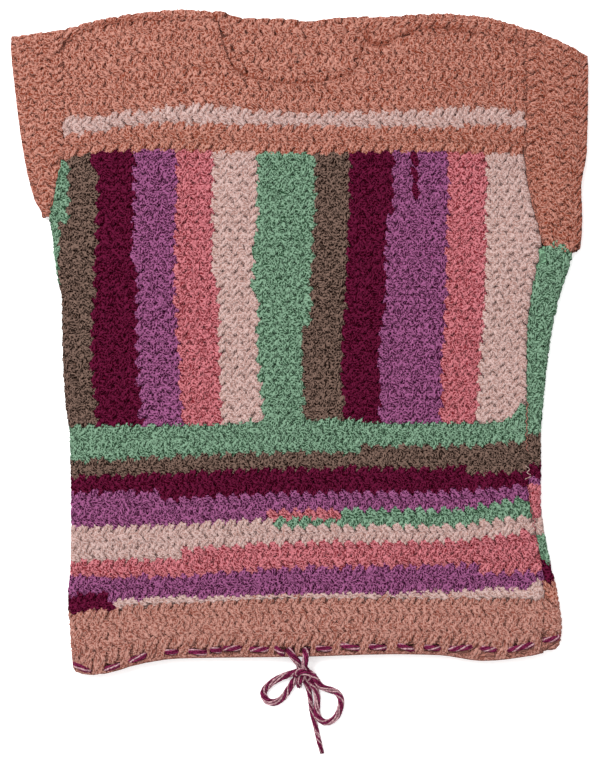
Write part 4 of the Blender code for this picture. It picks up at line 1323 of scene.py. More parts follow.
def shell(node, bm, flat, yarn, lay, inner_face=-WALL):
    """The fabric that the stitches stand on: a thin closed wall, laid on the form of its solid.

    flat gives the flat places of the grid's spots, and yarn the colours there.
    """
    name = node + "_ground"
    number = bm.verts.layers.int.new("number")
    for k, vert in enumerate(bm.verts):
        vert[number] = k
    p, q, _ = np.array([vert.co for vert in bm.verts]).T
    u, v = flat(p, q)
    inside, outside = (np.stack(lay(u, v, np.full(len(u), w)), axis=1) for w in (inner_face, SHELL_FACE))
    middles = [[vert[number] for vert in face.verts] for face in bm.faces]
    colours = yarn(*(np.array([values[k].mean() for k in middles]) for values in (u, v)))
    for face, colour in zip(bm.faces, np.broadcast_to(colours, len(middles))):
        face.material_index = int(colour)
        face.smooth = True
    below = list(bm.verts)
    made = bmesh.ops.extrude_face_region(bm, geom=bm.faces[:], use_keep_orig=True)["geom"]
    for vert in below:
        vert.co = inside[vert[number]]
    for part in made:
        if isinstance(part, bmesh.types.BMVert):
            part.co = outside[part[number]]
    bm.verts.layers.int.remove(number)
    bmesh.ops.recalc_face_normals(bm, faces=bm.faces)
    mesh = mesh_of(name, bm)
    add_bake_map(mesh)
    piece = add_piece(name, mesh, GROUND_MATERIALS)
    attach(piece, "root")
    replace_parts(piece, node)
    return piece


# ------------------------ colours and rows
def line_at(lines, row):
    """A row's lower line, between the lines that a table gives for some of the rows."""
    numbers = [number for number, _ in lines]
    k = min(max(0, int(np.searchsorted(numbers, row, side="right")) - 1), len(lines) - 2)
    (first, start), (second, end) = lines[k], lines[k + 1]
    share = (row - first) / (second - first)
    return lambda at: mix(smooth(start, at), smooth(end, at), share)


def row_of(lines, first, last, across, along):
    """The row that each flat place is in."""
    row = np.full(np.shape(across), float(first))
    ascending = smooth(lines[-1][1], 0.0) > smooth(lines[0][1], 0.0)
    for number in range(first + 1, last):
        past = across > line_at(lines, number)(along)
        row = row + (past if ascending else ~past)
    return row


STRIPE_HEIGHTS = (-0.0750, -0.0075, 0.0375, 0.1275)
STRIPE_LINES = [  # a row's number, and the places of its line at these heights
    (0, -0.2156, -0.2192, -0.2183, -0.2140),
    (5, -0.1823, -0.1868, -0.1850, -0.1814),
    (10, -0.1481, -0.1535, -0.1526, -0.1490),
    (16, -0.1049, -0.1089, -0.1121, -0.1103),
    (22, -0.0761, -0.0770, -0.0779, -0.0779),
    (28, -0.0365, -0.0428, -0.0428, -0.0374),
    (36, 0.0050, 0.0032, 0.0041, 0.0086),
    (42, 0.0401, 0.0383, 0.0419, 0.0455),
    (48, 0.0725, 0.0725, 0.0770, 0.0797),
    (58, 0.1274, 0.1292, 0.1319, 0.1346),
    (64, 0.1589, 0.1634, 0.1670, 0.1688),
]
STRIPE_FIRST = -6  # the row at the left border, round the side
STRIPE_ROWS = 71
STRIPE_COUNT = 17  # stitches in each row
STRIPE_MIDDLE = 36  # the row at which the stitches are parted into two pieces
STRIPE_LEVEL = 0.05  # a height between the ends of the rows
STRIPES = [(row, list(zip(STRIPE_HEIGHTS, places))) for row, *places in STRIPE_LINES]
STRIPES += [(STRIPE_ROWS, RIGHT_SEAM)]

Band = namedtuple("Band", "yarn above below y")  # first row of a colour above a height, and below it
BANDS = [
    Band("green", -9, -9, 0.0),
    Band("taupe", 1, 0, 0.1004),
    Band("maroon", 4, 5, 0.1544),
    Band("purple", 10, 11, 0.0680),
    Band("coral", 16, 16, 0.0),
    Band("cream", 22, 23, 0.0518),
    Band("green", 28, 29, 0.0437),
    Band("taupe", 37, 36, 0.0176),
    Band("maroon", 42, 42, 0.0),
    Band("purple", 49, 48, 0.1121),
    Band("coral", 58, 58, 0.0),
    Band("cream", 64, 64, 0.0),
]
ODD_ROW = 52  # its upper end is maroon
ODD_ROW_FROM = 0.1250
HOOK_ROW = 69  # the lower ends from here on are green
HOOK_TO = -0.0585


def back_stripe_yarn(row, y):
    yarns = np.array([NUMBER[name] for name in BACK_STRIPED])
    return yarns[np.broadcast_to(row, np.shape(y)).astype(int)]


def stripe_yarn(row, y):
    found = np.full(np.shape(y), NUMBER[BANDS[0].yarn])
    for band in BANDS[1:]:
        found = np.where(row >= np.where(y > band.y, band.above, band.below), NUMBER[band.yarn], found)
    found = np.where((row >= HOOK_ROW) & (y < HOOK_TO), NUMBER["green"], found)
    return np.where((row == ODD_ROW) & (y > ODD_ROW_FROM), NUMBER["maroon"], found)


LOWER_PLACES = (-0.2020, -0.1210, 0.0000, 0.1265, 0.1985)
LOWER_LINES = [  # and the heights of its line at these places
    (3, -0.1008, -0.0968, -0.0932, -0.0950, -0.0914),
    (7, -0.1292, -0.1269, -0.1218, -0.1202, -0.1175),
    (11, -0.1598, -0.1580, -0.1520, -0.1517, -0.1422),
    (15, -0.1913, -0.1886, -0.1814, -0.1805, -0.1733),
    (18, -0.2126, -0.2120, -0.2039, -0.2026, -0.1994),
    (21, -0.2367, -0.2315, -0.2291, -0.2264, -0.2246),
]
LACE_TOP = 11.0 * MM  # below this height above its edge the hem holds the cord
LOWER_ROWS = 22
LACING_ROW = 27  # the hem's last row, which holds the cord
BODY_ROWS = 28
BODY_COUNT = 39  # stitches in each row
LOWER = [(0, FRONT_PANEL_LINE)]
LOWER += [(row, list(zip(LOWER_PLACES, heights))) for row, *heights in LOWER_LINES]
LACING = [(LACING_ROW, [Line(line.x, line.y + LACE_TOP) for line in HEM_EDGE]), (BODY_ROWS, HEM_EDGE)]
LOWER += [(LOWER_ROWS, HEM_LINE), *LACING]
HEM = [(LOWER_ROWS, HEM_REACH), *LACING]

FAR = 1.0


def whole(*yarns):
    """Rows of one colour each."""
    return [[(yarn, FAR)] for yarn in yarns]


LOWER_CHART = [  # each row's colours from the left, and the place where each one ends
    *whole("green", "green", "green"),
    [("green", 0.0610), ("taupe", FAR)],
    *whole("taupe", "taupe"),
    [("maroon", 0.1510), ("taupe", FAR)],
    *whole("maroon"),
    [("purple", -0.1210), ("maroon", FAR)],
    *whole("purple", "purple"),
    [("purple", -0.0270), ("coral", 0.0320), ("green", FAR)],
    [("cream", -0.0190), ("green", FAR)],
    *whole("cream", "cream"),
    [("cream", -0.1030), ("coral", FAR)],
    *whole("coral", "coral"),
    [("purple", 0.1625), ("coral", FAR)],
    *whole("purple"),
    [("maroon", -0.1750), ("purple", 0.2040), ("cream", FAR)],
    [("maroon", -0.1630), ("cream", FAR)],
]
BACK_LOWER = ["green"] * 2 + ["taupe"] * 4 + ["maroon"] * 2 + ["purple"] + ["coral"] * 4 + ["cream"] * 2
BACK_LOWER += ["green"] * 3 + ["maroon"] * 2 + ["rose"] * 2
BACK_LOWER_CHART = whole(*BACK_LOWER)
BACK_STRIPED = ["cream"] * 4 + ["coral"] * 6 + ["purple"] * 8 + ["maroon"] * 6 + ["taupe"] * 5
BACK_STRIPED += ["green"] * 8 + ["cream"] * 6 + ["coral"] * 6 + ["purple"] * 6 + ["maroon"] * 6
BACK_STRIPED += ["taupe"] * 5 + ["green"] * 10
BACK_STRIPES = [
    (0, [(y, float(back_left(min(y, UNDER_LEFT - MM)))) for y in STRIPE_HEIGHTS]),
    (len(BACK_STRIPED), [(y, float(back_right(min(y, UNDER_RIGHT - MM)))) for y in STRIPE_HEIGHTS]),
]


def chart_yarn(chart, row, x):
    """The yarn of a row at a place across it."""
    row = np.broadcast_to(np.clip(row, 0, len(chart) - 1), np.shape(x)).astype(int)
    found = np.empty(np.shape(x), int)
    for number, stretches in enumerate(chart):
        for yarn, end in reversed(stretches):
            found = np.where((row == number) & (x < end), NUMBER[yarn], found)
    return found


CREAM_FOOT = lines([
    (-0.2000, 0.1886), (-0.1760, 0.1913), (-0.1520, 0.1960), (-0.1000, 0.1982), (-0.0500, 0.1960),
    (0.0150, 0.1955), (0.1260, 0.1943), (0.1500, 0.1956), (0.1785, 0.1956), (0.1920, 0.1937),
])
CREAM_TOP = lines([
    (-0.2070, 0.1998), (-0.1805, 0.2000), (-0.1580, 0.2043), (-0.1355, 0.2066), (-0.0990, 0.2102),
    (-0.0560, 0.2088), (-0.0280, 0.2052), (0.0010, 0.2035), (0.1260, 0.2056), (0.1450, 0.2075),
    (0.1650, 0.2081), (0.1840, 0.2068), (0.1960, 0.2036),
])
YOKE_TALL = 8.4 * MM
YOKE_ROWS = 17
CREAM_FIRST, CREAM_AFTER = 3, 5  # the stripe's first row, and the first one above it
CREAM_SPREAD = 1.9 * MM
YOKE = [
    (0, YOKE_LINE),
    (CREAM_FIRST, [Line(line.x, line.y - CREAM_SPREAD) for line in CREAM_FOOT]),
    (CREAM_AFTER, [Line(line.x, line.y + CREAM_SPREAD) for line in CREAM_TOP]),
    (YOKE_ROWS, [Line(line.x, line.y + (YOKE_ROWS - CREAM_AFTER) * YOKE_TALL) for line in CREAM_TOP]),
]
BACK_YOKE_ROWS = 14
ROLL_ROWS = 4  # rows of the back above them, which roll over the shoulders
BACK_YOKE = [(0, YOKE_LINE), (BACK_YOKE_ROWS, TOP_EDGE)]
YOKE_COUNT = 34  # stitches in each row


def yoke_yarn(row, x):
    name = "cream" if CREAM_FIRST <= row < CREAM_AFTER else "rose"
    return np.full(np.shape(x), NUMBER[name])


def charted(chart):
    return lambda row, x: chart_yarn(chart, row, x)


def one_yarn(name):
    return lambda _, at: np.full(np.shape(at), NUMBER[name])


# ------------------------ the pieces of cloth
LOWER_TONE = 1.08
INNER_TONE = 0.95  # the inside of the back is a little less lit than the front


def even(tone):
    return lambda u, v: tone


PaintedShade = namedtuple("PaintedShade", "share at reach")  # where and how much painted shade darkens the colour
LOW_YOKE_SHADE = PaintedShade(0.10, 0.181, 0.012)
RIGHT_SIDE_SHADE = PaintedShade(0.08, -0.06, 0.10), PaintedShade(0.07, 0.06, 0.10)
YOKE_FROM, YOKE_FADE = 0.16, 0.02


def front_painted_shade(x, y):
    """Painted shade: the colour is a little darker low in the yoke and towards the right arm, where less
    light falls.
    """
    low_yoke_shade = LOW_YOKE_SHADE.share * np.exp(-(((y - LOW_YOKE_SHADE.at) / LOW_YOKE_SHADE.reach) ** 2))
    right = sum(part.share * soft_step((x - part.at) / part.reach) for part in RIGHT_SIDE_SHADE)
    return 1 - low_yoke_shade - right * soft_step((y - YOKE_FROM) / YOKE_FADE)


def armhole_left(v):
    """The front's left border where it shows: the armhole, and nothing below the underarm."""
    return np.where(v > UNDER_LEFT, smooth(LEFT_ARMHOLE, v), -FAR)


PAST_EDGE = 6.0 * MM  # a flat place this far past the left edge is out of sight
BEFORE_ROLL = 2.0 * MM  # and so is one of the back up to this far round its roll


def front_hidden(u, v):
    """Whether a flat place of the front is round the side, underneath."""
    return u < smooth(LEFT_EDGE, v) - PAST_EDGE


def back_hidden(u, v):
    return u < right_roll(v)[0] + BEFORE_ROLL


Layer = namedtuple("Layer", "left right hidden")  # a layer's borders, and which places are hidden
FRONT = Layer(front_left, front_right, front_hidden)
BACK = Layer(back_left, back_right, back_hidden)


def upright_rows(lines, numbers, foot, yarn, tone, layer):
    """Rows that run up the body, from a line at their foot to the yoke."""
    rows = Rows()
    for row in numbers:
        low, high = line_at(lines, row), line_at(lines, row + 1)
        x = float(low(STRIPE_LEVEL))
        ends = float(smooth(foot, x)), float(smooth(YOKE_LINE, x))
        work_row(rows, row, ends, STRIPE_COUNT, low, high, yarn, tone, layer.hidden, upright=True)
    return rows.within(layer)


def across_rows(lines, numbers, count, layer, yarn, tone, turned=(), close=()):
    """Rows that run across the body, some of them upside down, some half over each other."""
    rows = Rows()
    for row in numbers:
        low, high = line_at(lines, row + 1), line_at(lines, row)
        if lines[-1][1][0].y > lines[0][1][0].y:
            low, high = high, low
        y = float(low(0.0))
        ends = float(layer.left(y)), float(layer.right(y))
        way = {"turned": row in turned, "cover": CLOSE if row in close else 1.0}
        work_row(rows, row, ends, count, low, high, yarn, tone, layer.hidden, **way)
    return rows


EDGING_STEP = 7.0 * MM
EDGING_TALL = 2.5 * MM
EDGING_IN = 1.6 * MM  # from an edge to the middle of its edging
EDGE_STEP = 2.0 * MM  # between the places at which the edge itself is worked out


def edging(rows, line, yarn, tone):
    """Small stitches along an edge, side by side."""
    reach = np.concatenate([[0.0], np.cumsum(np.hypot(*np.diff(line, axis=0).T))])
    spots = np.arange(EDGING_STEP / 2, reach[-1], EDGING_STEP)
    u, v = (np.interp(spots, reach, column) for column in line.T)
    ahead = [np.interp(spots + EDGING_STEP / 2, reach, column) for column in line.T]
    behind = [np.interp(spots - EDGING_STEP / 2, reach, column) for column in line.T]
    angle = np.arctan2(ahead[1] - behind[1], ahead[0] - behind[0])
    stitch_tone = (1 + HAND.normal(0, TONE, len(spots))) * tone(u, v)
    kind = 2 * HAND.integers(0, VARIANTS, len(spots)) + np.arange(len(spots)) % 2
    long, tall = EDGING_STEP / LONG, EDGING_TALL / TALL
    rows.add(u=u, v=v, angle=angle, long=long, tall=tall, yarn=NUMBER[yarn], kind=kind, tone=stitch_tone)


LACING_STITCH = 10.0 * MM
LACING_LONGEST = 1.1
LACING_TALL = 8.4 * MM
LACING_MIDDLE = 0.52 * LACE_TOP  # the middle of these stitches, above the hem's edge
HEM_END_LEFT, HEM_END_RIGHT = -0.29, -0.28  # the heights of the hem's two lower corners
HEM_EDGING_FROM = -0.215


def lacing_stitches(rows):
    """The stitches between the holes of the hem, and the edging below them."""
    last = float(front_right(HEM_END_RIGHT))
    ends = [float(front_left(HEM_END_LEFT)), *SLOT_ENDS, last]
    for start, end in zip(ends[::2], ends[1::2]):
        count = max(1, round((end - start) / LACING_STITCH))
        long = (end - start) / count
        u = start + (np.arange(count) + 0.5) * (end - start) / count
        v = smooth(HEM_EDGE, u) + LACING_MIDDLE
        kind = np.where(front_hidden(u, v), PLAIN, 2 * HAND.integers(0, VARIANTS, count))
        stitch_tone = 1 + HAND.normal(0, TONE, count)
        long, tall = min(LACING_LONGEST, long / LONG), LACING_TALL / TALL
        rows.add(u=u, v=v, angle=0.0, long=long, tall=tall, yarn=NUMBER["dusty rose"], kind=kind, tone=stitch_tone)
    places = np.arange(HEM_EDGING_FROM, last, EDGE_STEP)
    line = np.stack([places, smooth(HEM_EDGE, places) + EDGING_IN], axis=1)
    edging(rows, line, "dusty rose", even(1.0))


def neck_edging(rows):
    neck = np.array(spaced([(line.x, line.y, 0.0) for line in NECK], EDGE_STEP))[:, :2]
    along = np.gradient(neck, axis=0)
    along = along / np.hypot(*along.T)[:, None]
    line = neck + np.stack([along[:, 1], -along[:, 0]], axis=1) * EDGING_IN
    edging(rows, line, "rose", front_painted_shade)


def front_striped_panel():
    numbers = range(STRIPE_FIRST, STRIPE_ROWS)
    rows = upright_rows(STRIPES, numbers, FRONT_PANEL_LINE, stripe_yarn, front_painted_shade, FRONT)
    middle = float(line_at(STRIPES, STRIPE_MIDDLE)(STRIPE_LEVEL))
    lay = held_in(lay_front, armhole_left, front_right, line_of(FRONT_PANEL_LINE), line_of(YOKE_LINE))
    name = "front_striped_panel_stitches_"
    left = work(name + "left", rows.where(lambda u, v: u < middle), lay)
    right = work(name + "right", rows.where(lambda u, v: u >= middle), lay)
    return [left, right]


def back_striped_panel():
    numbers = range(len(BACK_STRIPED))
    rows = upright_rows(BACK_STRIPES, numbers, BACK_PANEL_LINE, back_stripe_yarn, even(1.0), BACK)
    lay = held_in(lay_back, right=back_right, low=line_of(BACK_PANEL_LINE), high=line_of(YOKE_LINE))
    return [work("back_striped_panel_stitches", rows, lay, WRAPPED_SHARE)]


def front_lower_panel():
    last = LOWER_ROWS - 1
    yarn, tone = charted(LOWER_CHART), even(LOWER_TONE)
    rows = across_rows(LOWER, range(LOWER_ROWS), BODY_COUNT, FRONT, yarn, tone, close=(last,))
    lay = held_in(lay_front, right=front_right, low=hem_top)
    return [work("front_lower_panel_stitches", rows.within(FRONT), lay)]


def back_lower_panel():
    yarn, tone = charted(BACK_LOWER_CHART), even(LOWER_TONE)
    rows = across_rows(LOWER, range(LOWER_ROWS), BODY_COUNT, BACK, yarn, tone)
    lay = held_in(lay_back, right=back_right, low=line_of(HEM_LINE))
    return [work("back_lower_panel_stitches", rows.within(BACK), lay)]


def front_hem_band():
    yarn = one_yarn("dusty rose")
    rows = across_rows(HEM, range(LOWER_ROWS, LACING_ROW), BODY_COUNT, FRONT, yarn, even(1.0))
    lacing_stitches(rows)
    lay = held_in(lay_front, right=front_right, low=FREE_EDGE)
    return [work("front_hem_band_stitches", rows.within(FRONT), lay)]


def back_hem_band():
    yarn = one_yarn("dusty rose")
    rows = across_rows(LOWER, range(LOWER_ROWS, BODY_ROWS), BODY_COUNT, BACK, yarn, even(1.0))
    lay = held_in(lay_back, right=back_right, low=FREE_EDGE)
    return [work("back_hem_band_stitches", rows.within(BACK), lay)]


ARM_LAP = 1.2 * MM  # how far the yoke's stitches lie over the right sleeve's
RIGHT_ARMHOLE = line_of(RIGHT_SEAM, ARM_LAP)
NECK_ROOM = 3.0 * MM  # from the neckline to the middles of the last stitches below it
OVER_SHOULDER = 1.0 * MM  # how far they may lie past a shoulder's seam


def at_neck(u):
    return (u > NECK_LEFT) & (u < NECK_RIGHT)


def front_yoke():
    rows = across_rows(YOKE, range(YOKE_ROWS), YOKE_COUNT, FRONT, yoke_yarn, front_painted_shade, turned=(0,))
    rows = rows.within(FRONT)
    rows = rows.where(lambda u, v: v < front_top_edge(u) + np.where(at_neck(u), -NECK_ROOM, OVER_SHOULDER))
    neck_edging(rows)
    lay = held_in(on_top, line_of(LEFT_ARMHOLE), RIGHT_ARMHOLE, high=front_top_edge)
    return [work("front_yoke_stitches", rows, lay, shade=front_shade)]


ROLLED = 13.0 * MM  # the back's roll starts within this distance of its edge
OUT_OF_SIGHT = 3.0 * MM  # and what lies further than this below the edge is hidden
NECK_ROWS = 9  # rows of the back that show through the neck
NECK_COUNT = 11
NECK_ENDS = (-0.080, 0.064)
NECK_SIDES = (-0.079, 0.062)  # where the stitches between these are held in
BELOW_NECK = 8.0 * MM  # how far they go on behind the neckline
PAST_NECK = 3.0 * MM  # how far the left shoulder's stitches reach past the neck's end


def back_yoke():
    edge = line_of(TOP_EDGE)
    layer = Layer(back_left, front_right, lambda u, v: v < edge(u) - OUT_OF_SIGHT)
    armholes = Layer(line_of(LEFT_ARMHOLE), line_of(RIGHT_SEAM), None)
    numbers = range(BACK_YOKE_ROWS + ROLL_ROWS)
    rows = across_rows(BACK_YOKE, numbers, YOKE_COUNT, layer, yoke_yarn, front_painted_shade).within(armholes)

    def unrolled(u, v):
        return at_neck(u) | (v < edge(u) - ROLLED)

    low = rows.where(lambda u, v: unrolled(u, v) & (v < edge(u) - BORDER))
    rolled = rows.where(lambda u, v: ~unrolled(u, v) & (v < shoulder_flat(u) - BORDER))
    inner = Rows()
    for row in range(NECK_ROWS):
        upper, lower = (lambda x, k=k: edge(x) - k * YOKE_TALL for k in (row, row + 1))
        work_row(inner, row, NECK_ENDS, NECK_COUNT, lower, upper, one_yarn("rose"), even(INNER_TONE))
    inner = inner.where(lambda u, v: v > front_top_edge(u) - BELOW_NECK)

    left = held_in(lay_shoulder, line_of(LEFT_ARMHOLE), upright_at(NECK_LEFT + PAST_NECK), high=shoulder_flat)
    right = held_in(lay_shoulder, upright_at(NECK_RIGHT), RIGHT_ARMHOLE, high=shoulder_flat)
    inside = held_in(lay_inside, *(upright_at(x) for x in NECK_SIDES), high=edge)
    under = held_in(underneath, high=edge)
    slot, name = "rose_crochet", "back_yoke_shoulder_"
    return [
        work("back_yoke_stitches", low, under, WRAPPED_SHARE),
        work(name + "left", rolled.where(lambda u, v: u < 0), left, shade=fold_shade),
        work(name + "right", rolled.where(lambda u, v: u > 0), right, shade=fold_shade),
        work("back_yoke_inner_stitches", inner, inside, shade=neck_shade),
    ]


Shade = namedtuple("Shade", "share reach")  # how deep and how wide a shade is
NECK_SHADE = Shade(0.72, 2.2 * MM)
BESIDE_SHADE = Shade(0.72, 3.4 * MM)  # beside the right shoulder's roll, at the neckline's end
BESIDE_X, BESIDE_Y, BESIDE_HALF = 0.0600, 0.2745, 9.0 * MM
FOOT_REACH = 3.0 * MM
FOOT_UP = 1.2 * MM  # from the end of a roll's stitches to its foot
FRONT_SHADE = Shade(0.8, 1.6 * MM)


def neck_shade(u, v):
    """What shows of the back is darker along the front's neckline."""
    over = np.maximum(0.0, v - front_top_edge(u) - OVERLAP)
    side = np.abs(u - NECK[-1].x)
    near = np.exp(-((np.minimum(over, side) / NECK_SHADE.reach) ** 2))
    return 1 - NECK_SHADE.share * near


FOOT_SHADES = [  # places along the feet of the shoulders' rolls, and how deep the shade is there
    (-0.2120, 0.30), (-0.1900, 0.45), (-0.1600, 0.60), (-0.1250, 0.40), (-0.0850, 0.10),
    (0.0550, 0.10), (0.0650, 0.70), (0.0780, 0.72), (0.0870, 0.30), (0.0980, 0.60),
    (0.1400, 0.55), (0.1750, 0.25), (0.2000, 0.30),
]


def fold_shade(u, v):
    """So are the feet of the shoulders' rolls, and the right one beside the neckline's end."""
    _, y, _ = lay_shoulder(u, v, 0 * u)
    off_x, off_y = (u - BESIDE_X) / BESIDE_SHADE.reach, (y - BESIDE_Y) / BESIDE_HALF
    beside = BESIDE_SHADE.share * np.exp(-(off_x**2) - off_y**4)
    over = np.maximum(0.0, shoulder_flat(u) - v - FOOT_UP)
    foot = smooth(FOOT_SHADES, u) * np.exp(-((over / FOOT_REACH) ** 2))
    return 1 - np.maximum(beside, foot)


def front_shade(u, v):
    """And so is the front's edge below the rolls."""
    below = np.maximum(0.0, front_top_edge(u) - v)
    return 1 - FRONT_SHADE.share * smooth(FOOT_SHADES, u) * np.exp(-((below / FRONT_SHADE.reach) ** 2))


SeamYarn = namedtuple("SeamYarn", "yarn top foot reach")  # whipped over the side seam between two heights
SEAM_YARNS = [
    SeamYarn("dusty rose", -0.0540, -0.0990, 1.3 * MM),
    SeamYarn("cream", -0.1120, -0.1270, 3.0 * MM),
    SeamYarn("coral", -0.1290, -0.1720, 1.5 * MM),
]
WHIP = 3.0 * MM  # from one crossing of the seam to the next
WHIP_REACH = (0.1, 1.3)  # the least and the most of its reach past the seam
SEAM_STRAND = 0.5 * MM
SEAM_LIFT = 0.4 * MM
SEAM_STEP = 1.2 * MM
SEAM_TONE = 0.85


def seam_yarn():
    """The yarn that sews the two sides together, where it shows."""
    bm = bmesh.new()
    for part in SEAM_YARNS:
        y = np.arange(part.top, part.foot, -WHIP)
        side = np.where(np.arange(len(y)) % 2, 1.0, -1.0)
        x = front_right(y) + side * part.reach * HAND.uniform(*WHIP_REACH, len(y))
        x, y, z = on_top(x, y, np.full(len(y), SEAM_LIFT))
        path = spaced(list(zip(x, y, z)), SEAM_STEP)
        radii = [SEAM_STRAND] * len(path)
        strand(bm, path, radii, twist=400.0, groove=0.9, sides=5, material=NUMBER[part.yarn])
    made = add_piece("side_seam_yarn", strand_mesh("side_seam_yarn", bm), YARN_MATERIALS)
    set_tone(made.data, SEAM_TONE)
    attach(made, "root")


SLEEVE_ROWS = 7
SLEEVE_ROW = 7.6 * MM
SLEEVE_STITCH = 12.5 * MM
SLEEVE_DEEP = 48.0 * MM  # from the cuff to the armhole, on average
SLEEVE_NARROWEST = 4.0 * MM
SLEEVE_PASSES = 3
# painted shade: each sleeve's colour is darker where less light falls on it, the right one most
SLEEVE_PAINTED_SHADES = {"sleeve_left": 0.96, "sleeve_right": 0.78}
SLEEVE_LAPS = {"sleeve_left": 0.0, "sleeve_right": ARM_LAP}
LEAST_SHARE = 0.05  # no row is worked nearer to the armhole, and none lies further past it
HIDDEN_AFTER, HIDDEN_UNTIL = 6.0 * MM, 8.0 * MM  # how far past the upper end, and short of the lower one


def sleeve_pieces(name):
    sleeve = SLEEVES[name]

    def lay(u, v, w):
        """u is the distance from the cuff and v the distance round from the lower end."""
        share = 0.5 + 0.0 * u
        for _ in range(SLEEVE_PASSES):
            width = sleeve.width(sleeve.height_at(share, v))
            share = np.clip(1 - u / np.maximum(SLEEVE_NARROWEST, width), -LEAST_SHARE, 1.0)
        return sleeve.lay(share, v, w)

    rows, yarn, tone = Rows(), one_yarn("rose"), even(SLEEVE_PAINTED_SHADES[name])
    for row in range(SLEEVE_ROWS):
        share = max(LEAST_SHARE, 1 - (row + 0.5) * SLEEVE_ROW / SLEEVE_DEEP)
        way = float(sleeve.way_round(share))
        low, high = (upright_at(k * SLEEVE_ROW) for k in (row, row + 1))
        hidden = lambda u, v, way=way: (v > way / 2 + HIDDEN_AFTER) & (v < way - HIDDEN_UNTIL)
        count = round(way / SLEEVE_STITCH)
        work_row(rows, row, (0.0, way), count, low, high, yarn, tone, hidden, upright=True)

    def armhole_width(v):
        return sleeve.width(sleeve.height_at(0.5 + 0 * v, v))

    rows = rows.where(lambda u, v: u < armhole_width(v) - BORDER)
    lay = held_in(lay, right=lambda v: armhole_width(v) - SLEEVE_LAPS[name])
    return [work(name + "_stitches", rows, lay)]


ACROSS = 72  # columns of a body piece's ground, on one layer
SIDE = 10  # and round the side
LEFT_ARM_SHARE, RIGHT_SEAM_SHARE, RIGHT_ARM_SHARE = 0.238, 0.346, 0.388  # rows that meet the underarms
PANEL_SHARES = np.unique(
    np.concatenate([
        np.linspace(0, LEFT_ARM_SHARE, 9),
        np.linspace(LEFT_ARM_SHARE, RIGHT_SEAM_SHARE, 5),
        np.linspace(RIGHT_SEAM_SHARE, RIGHT_ARM_SHARE, 3),
        np.linspace(RIGHT_ARM_SHARE, 1, 21),
    ])
)
EVEN_SHARES = np.linspace(0, 1, 23)
HEM_SHARES = np.linspace(0, 1, 5)  # rows of the hem's ground, down to where it holds the cord
HALF_WIDTH = 0.21  # of the body, before its places are worked out


def body_flat(upper, lower, shares, back):
    """The flat places of a piece of the body: one layer's columns, then round its side."""

    def flat(p, q):
        share = np.interp(q, np.arange(len(shares)), shares)
        main, beyond = np.minimum(p / ACROSS, 1), np.clip((p - ACROSS) / SIDE, 0, 1)
        x = mix(-HALF_WIDTH, HALF_WIDTH, main) if back else mix(HALF_WIDTH, -HALF_WIDTH, main)
        for _ in range(PASSES):
            y = mix(upper(x), lower(x), share)
            if back:
                right = np.where(y > UNDER_RIGHT_SEAM - SEAM, front_right(y), right_roll(y)[0])
                x = mix(back_left(y), right, main)
            else:
                armhole = smooth(LEFT_ARMHOLE, y) + SEAM / 2
                left = np.where(y > UNDER_LEFT + SEAM, armhole, left_roll(y)[0])
                x = mix(front_right(y), left, main)
        if back:
            return mix(x, back_right(np.minimum(y, UNDER_RIGHT)), beyond), y
        return mix(x, front_left(np.minimum(y, UNDER_LEFT - SEAM)) + SEAM / 2, beyond), y

    return flat


def panel_ground(node, back, upper, lower, shares, yarn, gone=None):
    grid = flat_grid(ACROSS + SIDE, len(shares) - 1, gone)
    flat = body_flat(line_of(upper, -SEAM / 2), line_of(lower, SEAM / 2), shares, back)
    return shell(node, grid, flat, yarn, lay_back if back else lay_front)


def striped_ground(node, back, yarn):
    """A striped panel's fabric, which ends at the underarm where it goes round the side."""
    missing = PANEL_SHARES.searchsorted(RIGHT_ARM_SHARE if back else LEFT_ARM_SHARE)
    lower = BACK_PANEL_LINE if back else FRONT_PANEL_LINE
    gone = lambda p, q: (p > ACROSS) & (q < missing)
    return panel_ground(node, back, YOKE_LINE, lower, PANEL_SHARES, yarn, gone)


def lower_ground(node, back, yarn):
    upper = BACK_PANEL_LINE if back else FRONT_PANEL_LINE
    return panel_ground(node, back, upper, HEM_LINE, EVEN_SHARES, yarn)


HEM_BORDERS = float(front_right(-0.26)), -0.1962  # of the front hem band, on top
LEAST_EDGE = 1.0 * MM  # of fabric below a slot


def hem_ground(node, back):
    """The hem band's fabric. The front's has a slot for each stretch of cord that shows."""
    first = len(HEM_SHARES) - 1  # the row from which the hem holds the cord
    above = body_flat(line_of(HEM_LINE, -SEAM / 2), line_of(HEM_EDGE, HEM_LEVEL), HEM_SHARES, back)
    places = np.array([HEM_BORDERS[0], *reversed(SLOT_ENDS), HEM_BORDERS[1]])
    last = ACROSS if back else len(places) - 1

    def slots(p, q):
        column, row = p.astype(int), q.astype(int)
        return (row == first + 1) & (column % 2 == 1) & (column < last)

    def flat(p, q):
        place = np.interp(p, np.arange(len(places)), places)
        even_column = ACROSS * (place - places[0]) / (places[-1] - places[0])
        columns = p if back else np.where(p <= last, even_column, p - last + ACROSS)
        x, y = above(columns, np.minimum(q, first))
        if not back:
            x = np.where(p <= last, np.minimum(place, front_right(y)), x)
        edge, lace = smooth(HEM_EDGE, x), smooth(LACE, x)
        slot_foot = np.maximum(lace - SLOT_WIDTH / 2, edge + LEAST_EDGE)
        heights = np.stack([edge + HEM_LEVEL, np.maximum(lace + SLOT_WIDTH / 2, edge), slot_foot, edge])
        past = q - first
        down = heights[np.clip(past, 0, len(heights) - 1).astype(int), np.arange(len(x))]
        return x, np.where(past > 0, down, y)

    grid = flat_grid(last + SIDE, first + 3, None if back else slots)
    lay = lay_back if back else lay_front
    return shell(node, grid, flat, one_yarn("dusty rose"), lay)


